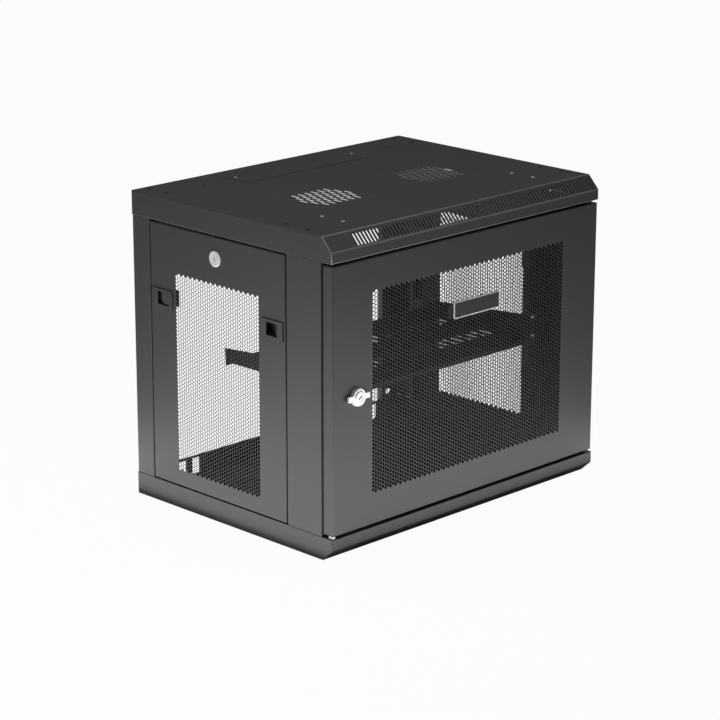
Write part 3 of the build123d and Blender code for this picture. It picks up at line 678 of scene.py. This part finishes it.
def make_spring():
    """The coil spring that holds the upper hinge pin up: it stands on the door's guide."""
    bm = bmesh.new()
    start = Vector((HINGE_X + SPRING_RADIUS, HINGE_Y, GUIDE_Z[1] + SPRING_WIRE))
    bmesh.ops.create_circle(bm, cap_ends=False, segments=8, radius=SPRING_WIRE,
                            matrix=Matrix.Translation(start) @ Matrix.Rotation(math.pi / 2, 4, "X"))
    steps = SPRING_STEPS * SPRING_TURNS
    climb = SPRING_TOP - GUIDE_Z[1] - 2 * SPRING_WIRE
    bmesh.ops.spin(bm, geom=bm.verts[:] + bm.edges[:], cent=(HINGE_X, HINGE_Y, start.z), axis=(0, 0, 1),
                   dvec=(0, 0, climb / steps), angle=math.tau * SPRING_TURNS, steps=steps)
    bmesh.ops.holes_fill(bm, edges=open_rim(bm.edges), sides=0)
    bmesh.ops.recalc_face_normals(bm, faces=bm.faces[:])
    for face in bm.faces:
        face.smooth = len(face.verts) == 4
    spring = piece("pin_spring", bm, [ZINC], "door", "zinc")
    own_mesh(spring)


def make_door_pad():
    """The small nylon pad that the door's free corner comes to rest on."""
    bm = bmesh.new()
    add_box(bm, (PAD_X[0], PAD_Y[0], BOTTOM_SKIRT), (PAD_X[1], PAD_Y[1], BOTTOM_SKIRT + PAD_HEIGHT))
    bend(bm, bm.edges[:], PAD_EDGE, finish=FLATS)
    piece("door_rest_pad", bm, [PALE_NYLON], "cabinet", "latch_plastic")


def make_knob():
    """The wing knob: a round disc with two square lugs, a boss with the key slot, and the spindle."""
    middle = middle_of("door_lock_knob")
    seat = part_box("door_lock_body")[0].y - KNOB_GAP
    bm = bmesh.new()
    bmesh.ops.create_cone(bm, cap_ends=True, segments=48, radius1=KNOB_DISC, radius2=KNOB_DISC,
                          depth=KNOB_THICKNESS, matrix=Matrix.Translation((0, 0, KNOB_THICKNESS / 2)))
    add_box(bm, (-KNOB_REACH, -KNOB_LUG, 0), (KNOB_REACH, KNOB_LUG, KNOB_THICKNESS - KNOB_LUG_STEP))
    bmesh.ops.recalc_face_normals(bm, faces=bm.faces[:])
    ease(bm, [edge for edge in bm.edges if edge.calc_face_angle(0) > KNOB_SHARP], KNOB_EDGE, 3)
    for face in bm.faces:
        face.normal_update()
    face = facing(bm, (0, 0, 1))
    for other in bm.faces:
        other.smooth = other.calc_area() < KNOB_THICKNESS ** 2 / 4
    for inset, rise in KNOB_FACE:
        walls = bmesh.ops.inset_region(bm, faces=[face], thickness=inset, depth=rise, use_even_offset=True)
        for wall in walls["faces"]:
            wall.smooth = rise != 0.0
    key_slot = slot_outline(*KEY_SLOT, KEY_SLOT_CORNER)
    # The key slot's walls and floor are black as painted shade.
    for inner in sink(bm, face, key_slot, KEY_SLOT_DEPTH, KEY_SLOT_TURN):
        inner.material_index = 1
    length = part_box("door_lock_knob")[1].y - seat
    bmesh.ops.create_cone(bm, cap_ends=True, segments=32, radius1=SPINDLE, radius2=SPINDLE, depth=length,
                          matrix=Matrix.Translation((0, 0, -length / 2)))
    plane = plane_at((middle[0], seat, middle[2]), (1, 0, 0), (0, 0, 1))
    bmesh.ops.transform(bm, matrix=plane, verts=bm.verts[:])
    piece("knob", bm, (CHROME, BLACK_OXIDE), "door_lock", "chrome", "door_lock_knob")


def make_side_lock(side, sign):
    """A side lock's body turned in one: a grooved rose and the barrel, bored for the core."""
    node = side + "_side_lock_body"
    low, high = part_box(node)
    middle = middle_of(node)
    reach = high.x - low.x - LOCK_CAM_GAP
    bm = bmesh.new()
    outline = ROSE_PROFILE + ((LOCK_BARREL, -reach), (LOCK_BORE, -reach))
    profile = [bm.verts.new((radius, 0, depth)) for radius, depth in outline]
    rims = [bm.edges.new((profile[i - 1], profile[i])) for i in range(len(profile))]
    bmesh.ops.spin(bm, geom=profile + rims, cent=(0, 0, 0), axis=(0, 0, 1), angle=math.tau, steps=48,
                   use_merge=True)
    bmesh.ops.recalc_face_normals(bm, faces=bm.faces[:])
    face_x = low.x if sign < 0 else high.x
    plane = plane_at((face_x, middle[1], middle[2]), (0, sign, 0), (0, 0, 1))
    bmesh.ops.transform(bm, matrix=plane, verts=bm.verts[:])
    piece(side + "_side_lock_rose", bm, [CHROME], side + "_panel", "chrome", node)


def make_hinge_washer():
    """The black washer that the door turns on, round the lower pin."""
    middle = middle_of("lower_hinge_pin")
    bottom = BOTTOM_SKIRT
    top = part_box("door")[0].z - WASHER_GAP
    bm = bmesh.new()
    bmesh.ops.create_cone(bm, cap_ends=True, segments=32, radius1=WASHER_RADIUS, radius2=WASHER_RADIUS,
                          depth=top - bottom)
    bmesh.ops.translate(bm, verts=bm.verts[:], vec=(middle[0], middle[1], (top + bottom) / 2))
    piece("hinge_washer", bm, [LATCH_PLASTIC], "cabinet", "latch_plastic")


def make_side_panel(side, sign):
    """A side panel's pan: perforated, with openings for the two latches and the lock, and hooks below."""
    node = side + "_side_panel"
    low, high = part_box(node)
    bottom = low.z + HOOK_REACH
    outer_x = sign * max(abs(low.x), abs(high.x))
    bm = bmesh.new()
    add_box(bm, (low.x, low.y + PANEL_END_GAP, bottom),
            (high.x, high.y - PANEL_END_GAP, high.z - PANEL_TOP_GAP))
    open_side = [face for face in bm.faces if face.normal.x * sign < -ALIGNED]
    bmesh.ops.delete(bm, geom=open_side, context="FACES_ONLY")
    bend(bm, [edge for edge in bm.edges if len(edge.link_faces) == 2], finish=FLATS)
    field = [(u + SIDE_FIELD_Y, v + SIDE_FIELD_Z)
             for u, v in staggered(SIDE_COLUMNS, FIELD_ROWS, SIDE_COLUMN_PITCH, FIELD_PITCH, 0)]
    latches = [middle_of("%s_%s_latch_housing" % (side, place))[1:] for place in ("front", "rear")]
    lock = [middle_of(side + "_side_lock_body")[1:]]
    plane = plane_at((outer_x, 0, 0), (0, 1, 0), (0, 0, 1))
    perforate(bm, facing(bm, (sign, 0, 0)), plane,
              [(hexagon_outline(FIELD_HOLE), field),
               (slot_outline(*LATCH_HOLE, LATCH_HOLE_CORNER), latches),
               (round_outline(SIDE_LOCK_HOLE, 32), lock)])
    # The cut edges take the lighter coat as a painted highlight.
    thicken(bm, DOOR_SHEET, HIGHLIGHT_SLOT)
    hook_x = outer_x - sign * HOOK_INSET
    middle = (low.y + high.y) / 2
    xs = sorted((hook_x, hook_x - sign * DOOR_SHEET))
    top = bottom + DOOR_SHEET
    for y in (middle - HOOK_SPACING / 2, middle + HOOK_SPACING / 2):
        add_box(bm, (xs[0], y - HOOK_WIDTH / 2, low.z), (xs[1], y + HOOK_WIDTH / 2, top))
    add_box(bm, (xs[0], low.y + LIP_END, bottom - PANEL_LIP), (xs[1], high.y - LIP_END, top))
    sheet_piece(side + "_side_pan", bm, side + "_panel", node)


def make_latch_bezel(side, sign, place, towards):
    """A latch's bezel: proud of the panel, with a window; the rear one bulges away from its post."""
    housing = middle_of("%s_%s_latch_housing" % (side, place))
    middle = Vector((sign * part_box("top_cover")[1].x, housing[1], housing[2]))
    width, height = BEZEL
    bm = bmesh.new()
    bmesh.ops.create_grid(bm, x_segments=1, y_segments=8, size=0.5,
                          matrix=Matrix.Diagonal((width, height, 1.0, 1.0)))
    for vert in bm.verts:
        if place == "rear" and abs(vert.co.x + width / 2) < TOUCH:
            vert.co.x -= BEZEL_BULGE * (1 - (2 * vert.co.y / height) ** 2)
    seams = [edge for edge in bm.edges if len(edge.link_faces) == 2]
    bmesh.ops.dissolve_edges(bm, edges=seams, use_verts=False)
    if place == "front":
        between = [vert for vert in bm.verts if abs(vert.co.y) < height / 2 - TOUCH]
        bmesh.ops.dissolve_verts(bm, verts=between)
    plane = plane_at(middle, (0, towards, 0), (0, 0, 1))
    if plane.to_3x3().col[2].x * sign < 0:
        bmesh.ops.reverse_faces(bm, faces=bm.faces[:])
    for face in bm.faces:
        face.normal_update()
    window = slot_outline(*BEZEL_WINDOW, BEZEL_WINDOW_CORNER)
    perforate(bm, next(iter(bm.faces)), Matrix.Identity(4), [(window, [(-BEZEL_WINDOW_SHIFT[place], 0)])])
    grown = bmesh.ops.extrude_face_region(bm, geom=bm.faces[:])
    outward = plane.to_3x3().inverted() @ Vector((sign * BEZEL_THICKNESS, 0, 0))
    bmesh.ops.translate(bm, verts=extruded_verts(grown), vec=outward)
    bmesh.ops.recalc_face_normals(bm, faces=bm.faces[:])
    rims = [edge for edge in bm.edges if edge.calc_face_angle(0) > BEZEL_SHARP
            and all(abs(vert.co.z) > TOUCH for vert in edge.verts)]
    ease(bm, rims, BEZEL_EDGE)
    bmesh.ops.transform(bm, matrix=plane, verts=bm.verts[:])
    bmesh.ops.recalc_face_normals(bm, faces=bm.faces[:])
    # The bezel's front keeps its own nylon; its sides and the window's walls are near-black as painted shade.
    for face in bm.faces:
        face.normal_update()
        face.material_index = 0 if abs(face.normal.x) > BEZEL_FRONT else 1
    name = "%s_%s_latch_bezel" % (side, place)
    piece(name, bm, (BEZEL_FACE, LATCH_PLASTIC), side + "_panel", "latch_plastic")
    if place == "rear":
        make_finger_rib(side, sign, middle, towards)


def make_finger_rib(side, sign, middle, towards):
    """The rib and step in a rear slider's pocket that a finger pushes."""
    bm = bmesh.new()
    for near, far, top, low, high in FINGER_RIB:
        ys = sorted((middle.y + towards * near * MM, middle.y + towards * far * MM))
        xs = sorted((middle.x + sign * top * MM, middle.x - sign * FINGER_RIB_ROOT * MM))
        add_box(bm, (xs[0], ys[0], middle.z + low * MM), (xs[1], ys[1], middle.z + high * MM))
    ease(bm, bm.edges[:], FINGER_RIB_EDGE)
    piece(side + "_rear_finger_rib", bm, [BEZEL_FACE], side + "_rear_latch", "latch_plastic")


# Top and bottom cover

def cover_shell(skirt, bevel):
    """The outside of a cover, skirt down, without folds: plate, bevelled front and skirts."""
    low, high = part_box("top_cover")
    bm = bmesh.new()
    add_box(bm, (-high.x, low.y, 0), (high.x, high.y, skirt))
    under = [face for face in bm.faces if face.normal.z < -ALIGNED]
    bmesh.ops.delete(bm, geom=under, context="FACES_ONLY")
    nose = [edge for edge in bm.edges
            if all(vert.co.z > skirt / 2 and vert.co.y < 0 for vert in edge.verts)]
    cut = ease(bm, nose, BEVEL_RUN, 1)
    for vert in {vert for face in cut for vert in face.verts}:
        if vert.co.y < low.y + BEVEL_RUN / 2:
            vert.co.z = skirt - bevel
    return bm


def make_cover(skirt, bevel, plate_holes):
    """A cover from its skirt height and bevel: all its sheet, with its slots, windows and holes."""
    low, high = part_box("top_cover")
    half, front, back = high.x, low.y, high.y
    bm = cover_shell(skirt, bevel)
    nose_low = [edge for edge in bm.edges
                if all(abs(vert.co.y - front) < TOUCH and vert.co.z < TOUCH for vert in edge.verts)]
    for vert in extruded_verts(bmesh.ops.extrude_edge_only(bm, edges=nose_low)):
        vert.co.y += LIP_DEPTH
        vert.co.x *= (half - LIP_SET_BACK) / half
    bend(bm, folds_of(bm))
    # Only the folds of the bevelled front keep the painted highlight.
    for face in bm.faces:
        if face.calc_center_median().y > front + BEVEL_RUN + BEND:
            face.material_index = FLATS
    perforate(bm, facing(bm, (0, 0, 1)), plane_at((0, 0, skirt), (1, 0, 0), (0, 1, 0)), plate_holes)
    middle = (0, front + BEVEL_RUN / 2, skirt - bevel / 2)
    slot = slot_outline(*BEVEL_SLOT, BEVEL_SLOT_CORNER, 2)
    slots = [(u + BEVEL_SLOTS_X, BEVEL_SLOT_RISE) for u in row_of(BEVEL_SLOTS, BEVEL_SLOT_PITCH)]
    perforate(bm, facing(bm, (0, -bevel, BEVEL_RUN)), plane_at(middle, (1, 0, 0), (0, BEVEL_RUN, bevel)),
              [(slot, slots)])
    window_height = REAR_SKIRT - 2 * REAR_WINDOW_EDGE
    window_z = skirt - REAR_SKIRT / 2
    windows = []
    for near, far in REAR_WINDOWS:
        outline = slot_outline(far - near, window_height, REAR_WINDOW_CORNER)
        windows.append((outline, [(sign * (near + far) / 2, window_z) for side, sign in SIDES]))
    perforate(bm, facing(bm, (0, 1, 0)), plane_at((0, back, 0), (1, 0, 0), (0, 0, 1)), windows)
    for vert in bm.verts:
        if vert.co.y > back - TOUCH and vert.co.z < TOUCH and abs(vert.co.x) < half - BEND / 2:
            vert.co.z = skirt - REAR_SKIRT
    # The cut edges and the rounded hems take the lighter coat as a painted highlight.
    thicken(bm, COVER_SHEET, HIGHLIGHT_SLOT)
    hems = [edge for edge in bm.edges if edge.calc_length() > 10 * MM
            and all(vert.co.z < TOUCH and abs(vert.co.x) > half - TOUCH for vert in edge.verts)]
    bend(bm, hems, HEM, HEM_STEPS)
    return bm


def entry_hole():
    """The cable entry at the back of a cover."""
    return (slot_outline(*ENTRY, ENTRY_CORNER, 6), [(0, ENTRY_Y)])


def make_top_cover():
    """The top, with its fan vents, the fans' screw holes and the keepers of the side locks."""
    vent_places = []
    screw_places = []
    for side, sign in SIDES:
        vent_places += [(sign * VENT_X + u, VENT_Y + v) for u, v in vent_slots()]
        screw_places += [(sign * VENT_X + u, VENT_Y + v) for u in (-FAN_SCREWS, FAN_SCREWS)
                         for v in (-FAN_SCREWS, FAN_SCREWS)]
    holes = [(slot_outline(*VENT_SLOT, VENT_SLOT[0] * SLOT_ROUND, 5), vent_places),
             (round_outline(FAN_SCREW_HOLE), screw_places),
             entry_hole()]
    bm = make_cover(TOP_SKIRT, TOP_BEVEL_DROP, holes)
    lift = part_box("top_cover")[1].z - TOP_SKIRT
    for side, sign in SIDES:
        xs = sorted((sign * KEEPER_X, sign * (KEEPER_X + COVER_SHEET)))
        add_box(bm, (xs[0], KEEPER_Y[0], KEEPER_LOW - lift), (xs[1], KEEPER_Y[1], TOP_SKIRT - COVER_SHEET))
    bmesh.ops.translate(bm, verts=bm.verts[:], vec=(0, 0, lift))
    sheet_piece("top_shell", bm, "cabinet", "top_cover")


def make_bottom_cover():
    """The bottom: a cover upside down, with no painted highlight on its folds and its downward faces in the
    darker coat as painted shade.
    """
    bm = make_cover(BOTTOM_SKIRT, BOTTOM_BEVEL_RISE, [entry_hole()])
    bmesh.ops.scale(bm, verts=bm.verts[:], vec=(1, 1, -1))
    bmesh.ops.reverse_faces(bm, faces=bm.faces[:])
    bmesh.ops.translate(bm, verts=bm.verts[:], vec=(0, 0, BOTTOM_SKIRT))
    for face in bm.faces:
        face.normal_update()
        if face.material_index == HIGHLIGHT_SLOT:
            face.material_index = FLATS
        if face.normal.z < UNDERSIDE:
            face.material_index = SHADE_SLOT
    sheet_piece("bottom_shell", bm, "cabinet", "bottom_cover")


def make_shelf():
    """The shelf's tray: slotted floor, turned-down lips, tapered walls and the ears on the rails."""
    low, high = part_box("shelf")
    middle_y = (low.y + high.y) / 2
    bm = bmesh.new()
    bmesh.ops.create_grid(bm, x_segments=1, y_segments=1, size=0.5,
                          matrix=Matrix.Translation((0, middle_y, SHELF_FLOOR_Z))
                          @ Matrix.Diagonal((2 * SHELF_WALL_X, high.y - low.y, 1.0, 1.0)))
    floor_edges = list(bm.edges)
    for edge in floor_edges:
        fresh = extruded_verts(bmesh.ops.extrude_edge_only(bm, edges=[edge]))
        if abs(edge.verts[0].co.x - edge.verts[1].co.x) < MM:
            for vert in fresh:
                vert.co.z = high.z if vert.co.y < 0 else SHELF_REAR_TOP
        else:
            for vert in fresh:
                vert.co.z -= SHELF_LIP
    fronts = [edge for edge in open_rim(bm.edges)
              if all(abs(vert.co.y - low.y) < TOUCH for vert in edge.verts)
              and abs(edge.verts[0].co.z - edge.verts[1].co.z) > SHELF_LIP * 2]
    for edge in fronts:
        for vert in extruded_verts(bmesh.ops.extrude_edge_only(bm, edges=[edge])):
            vert.co.x = math.copysign(SHELF_EAR_X, vert.co.x)
    bend(bm, folds_of(bm))
    slot = slot_outline(*SHELF_SLOT, SHELF_SLOT[0] * SLOT_ROUND, 4)
    slots = [(u, row * SHELF_ROW_SPACING / 2)
             for u in row_of(SHELF_SLOTS, SHELF_SLOT_PITCH) for row in (-1, 1)]
    plane = plane_at((0, middle_y, SHELF_FLOOR_Z), (1, 0, 0), (0, 1, 0))
    perforate(bm, facing(bm, (0, 0, 1)), plane, [(slot, slots)])
    thicken(bm, SHELF_SHEET)
    # The whole tray takes the darker coat as painted shade.
    for face in bm.faces:
        face.material_index = SHADE_SLOT
    sheet_piece("shelf_tray", bm, "cabinet", "shelf")


def make_entry_plate():
    """The thin blanking plate over the cable entry in the top."""
    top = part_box("top_cover")[1].z
    bm = bmesh.new()
    rounded_rectangle(bm, PLATE_X[1] - PLATE_X[0], PLATE_Y[1] - PLATE_Y[0], PLATE_CORNER, 4)
    grown = bmesh.ops.extrude_face_region(bm, geom=bm.faces[:])
    bmesh.ops.translate(bm, verts=extruded_verts(grown), vec=(0, 0, PLATE_SHEET))
    bmesh.ops.recalc_face_normals(bm, faces=bm.faces[:])
    rim = [edge for edge in bm.edges if all(vert.co.z > PLATE_SHEET / 2 for vert in edge.verts)]
    # The rounded rim takes the lighter coat, a painted highlight.
    bend(bm, rim, PLATE_EDGE, 2)
    bmesh.ops.translate(bm, verts=bm.verts[:], vec=(sum(PLATE_X) / 2, sum(PLATE_Y) / 2, top))
    sheet_piece("top_blanking_plate", bm, "cabinet", "top_entry_plate")


def make_cover_screws():
    """The screws in the top: black and zinc ones in the cover, flat ones in the blanking plate."""
    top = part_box("top_cover")[1].z
    head = screw_head(*SCREW_HEAD)
    outer = [(sign * OUTER_SCREW_X, y, top) for side, sign in SIDES for y in FRONT_SCREWS_Y]
    outer += [(sign * REAR_SCREW_X, y, top) for side, sign in SIDES for y in REAR_SCREWS_Y]
    inner = [(x, y, top) for x in INNER_SCREWS_X for y in FRONT_SCREWS_Y]
    small = [(x, y, top) for x, y in SMALL_SCREWS]
    plate = [(x, PLATE_SCREW_Y, top + PLATE_SHEET) for x in PLATE_SCREWS_X]
    screws("cover_screws_black", BLACK_OXIDE, head, outer)
    screws("cover_screws_small", BLACK_OXIDE, screw_head(*SMALL_SCREW_HEAD), small)
    screws("cover_screws_zinc", ZINC, head, inner, 0.4)
    screws("entry_plate_screws", ZINC, screw_head(*FLAT_SCREW_HEAD), plate, 0.7)


def make_badge():
    """The badge, left bare: a raised satin rim round a dark field."""
    low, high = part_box("badge_plate")
    low.x = BADGE_LEFT
    plane = plane_at(((low.x + high.x) / 2, low.y, (low.z + high.z) / 2), (1, 0, 0), (0, 0, 1))
    bm = bmesh.new()
    rounded_rectangle(bm, high.x - low.x, high.z - low.z, BADGE_CORNER, 5)
    grown = bmesh.ops.extrude_face_region(bm, geom=bm.faces[:])
    front = [element for element in grown["geom"] if isinstance(element, bmesh.types.BMFace)][0]
    bmesh.ops.translate(bm, verts=front.verts, vec=(0, 0, high.y - low.y))
    ease(bm, list(front.edges), BADGE_EDGE)
    front = max(bm.faces, key=lambda face: face.calc_center_median().z)
    bmesh.ops.inset_region(bm, faces=[front], thickness=BADGE_RIM_WIDTH, depth=0.0, use_even_offset=True)
    step, drop = BADGE_STEP
    bmesh.ops.inset_region(bm, faces=[front], thickness=step, depth=drop, use_even_offset=True)
    front.material_index = 1
    bmesh.ops.translate(bm, verts=bm.verts[:], vec=(0, 0, low.y - high.y))
    bmesh.ops.transform(bm, matrix=plane, verts=bm.verts[:])
    piece("badge", bm, (BADGE_RIM, BADGE_FIELD), "door", "badge", "badge_plate")


def make_badge_backing():
    """The plain strip of dark plastic that the badge is stuck to."""
    low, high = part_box("badge_backing")
    low.x = BACKING_LEFT
    bm = bmesh.new()
    add_box(bm, low, high)
    corners = [edge for edge in bm.edges if abs(edge.verts[0].co.y - edge.verts[1].co.y) > TOUCH]
    ease(bm, corners, BACKING_CORNER, 4)
    rim = [edge for edge in bm.edges if all(vert.co.y < low.y + TOUCH for vert in edge.verts)]
    ease(bm, rim, BACKING_EDGE)
    piece("badge_backing_strip", bm, [BACKING], "door", "badge_backing", "badge_backing")


make_door()
make_spring()
make_door_pad()
make_hinge_washer()
make_knob()
for side, sign in SIDES:
    make_side_lock(side, sign)
for side, sign in SIDES:
    make_side_panel(side, sign)
    for place, towards in (("front", -1), ("rear", 1)):
        make_latch_bezel(side, sign, place, towards)
make_top_cover()
make_bottom_cover()
make_shelf()
make_entry_plate()
make_cover_screws()
make_badge_backing()
make_badge()


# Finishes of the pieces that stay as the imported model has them

finish_of_slot = {"black_coat": COAT, "chrome": CHROME, "zinc": ZINC, "latch_plastic": LATCH_PLASTIC,
                  "badge": BADGE_RIM, "badge_backing": BACKING}
for subpart in frame["record"]["subparts"]:
    node = frame["nodes"][subpart["node"]]
    node.data.materials.clear()
    # The rails and their feet take the darker coat as painted shade.
    inside = subpart["node"].endswith(("_rack_rail", "_rail_foot"))
    node.data.materials.append(COAT_PAINTED_SHADE if inside else finish_of_slot[subpart["material_slot"]])


# Stage, lamps and camera

def make_floor():
    """A white floor that the camera sees as plain white, and that lights the cabinet from below."""
    bm = bmesh.new()
    bmesh.ops.create_circle(bm, cap_ends=True, segments=96, radius=FLOOR_RADIUS,
                            matrix=Matrix.Translation((0, 0, -FLOOR_DROP)))
    mesh = bpy.data.meshes.new("floor")
    bm.to_mesh(mesh)
    bm.free()
    floor = bpy.data.objects.new("floor", mesh)
    bpy.context.scene.collection.objects.link(floor)
    finish = new_finish("white_floor")
    rays = finish.node("ShaderNodeLightPath")
    seen = (finish.term(rays, "Is Camera Ray") + finish.term(rays, "Is Transmission Ray")) * FLOOR_SEEN
    seen = seen + finish.term(rays, "Is Glossy Ray") * FLOOR_MIRRORED
    lit = finish.node("ShaderNodeBsdfDiffuse", {}, {"Color": grey(0.9)})
    white = finish.node("ShaderNodeEmission", {}, {"Color": grey(1.0), "Strength": 1.0})
    mix = finish.node("ShaderNodeMixShader", {}, {0: seen, 1: finish.term(lit, 0), 2: finish.term(white, 0)})
    mesh.materials.append(finish.surface(mix))


def lamp(name, place, target, size, radiance):
    """A soft rectangular lamp at a place, facing a target, with the radiance of its face."""
    data = bpy.data.lights.new(name, "AREA")
    data.shape = "RECTANGLE"
    data.size, data.size_y = size
    data.energy = radiance * math.pi * size[0] * size[1]
    obj = bpy.data.objects.new(name, data)
    obj.location = place
    obj.rotation_mode = "QUATERNION"
    obj.rotation_quaternion = (Vector(target) - Vector(place)).to_track_quat("-Z", "Y")
    obj.visible_camera = False
    bpy.context.scene.collection.objects.link(obj)


def make_world():
    """A dim room that the camera sees as plain white."""
    finish = Finish(bpy.data.worlds.new("studio"))
    rays = finish.node("ShaderNodeLightPath")
    seen = finish.term(rays, "Is Camera Ray") + finish.term(rays, "Is Transmission Ray")
    room = finish.node("ShaderNodeBackground", {}, {"Color": grey(1.0), "Strength": ROOM_LIGHT})
    white = finish.node("ShaderNodeBackground", {}, {"Color": grey(1.0), "Strength": 1.0})
    mix = finish.node("ShaderNodeMixShader", {}, {0: seen, 1: finish.term(room, 0), 2: finish.term(white, 0)})
    bpy.context.scene.world = finish.surface(mix, "ShaderNodeOutputWorld")


def make_camera():
    """The photograph's viewpoint."""
    data = bpy.data.cameras.new("camera")
    data.lens = CAMERA_LENS
    data.sensor_width = CAMERA_SENSOR
    data.clip_end = CAMERA_CLIP
    camera = bpy.data.objects.new("camera", data)
    azimuth, elevation = math.radians(CAMERA_AZIMUTH), math.radians(CAMERA_ELEVATION)
    back = Vector((math.sin(azimuth) * math.cos(elevation), -math.cos(azimuth) * math.cos(elevation),
                   math.sin(elevation)))
    camera.location = CAMERA_AT
    camera.rotation_mode = "QUATERNION"
    turn = Quaternion((0, 0, 1), math.radians(CAMERA_ROLL))
    camera.rotation_quaternion = (-back).to_track_quat("-Z", "Y") @ turn
    bpy.context.scene.collection.objects.link(camera)
    bpy.context.scene.camera = camera


make_floor()

# Each lamp has its place, what it faces, its size in metres and its radiance
lamp("front_light_table", (-0.25, -0.605, 0.004), (-0.25, -0.605, 1.0), (1.4, 0.70), 2.0)
lamp("left_light_table", (-0.662, 0.06, 0.004), (-0.662, 0.06, 1.0), (0.70, 0.80), 1.95)
lamp("right_light_table", (0.70, 0.05, 0.004), (0.70, 0.05, 1.0), (0.70, 0.76), 1.2)
lamp("rear_light_table", (0.1, 0.64, 0.004), (0.1, 0.64, 1.0), (1.1, 0.70), 1.2)
lamp("overhead_softbox", (-0.3, 0.3, 2.4), (0, 0, 0.3), (1.4, 1.4), 2.4)
lamp("upper_left_softbox", (-1.6, -0.05, 1.2), (-0.3, 0.0, 0.35), (0.6, 0.6), 6.0)
lamp("upper_right_softbox", (0.40, -0.60, 1.30), (-0.2, -0.2, 0.5), (0.7, 0.7), 0.8)

make_world()
make_camera()
bpy.context.scene.view_settings.view_transform = "Standard"
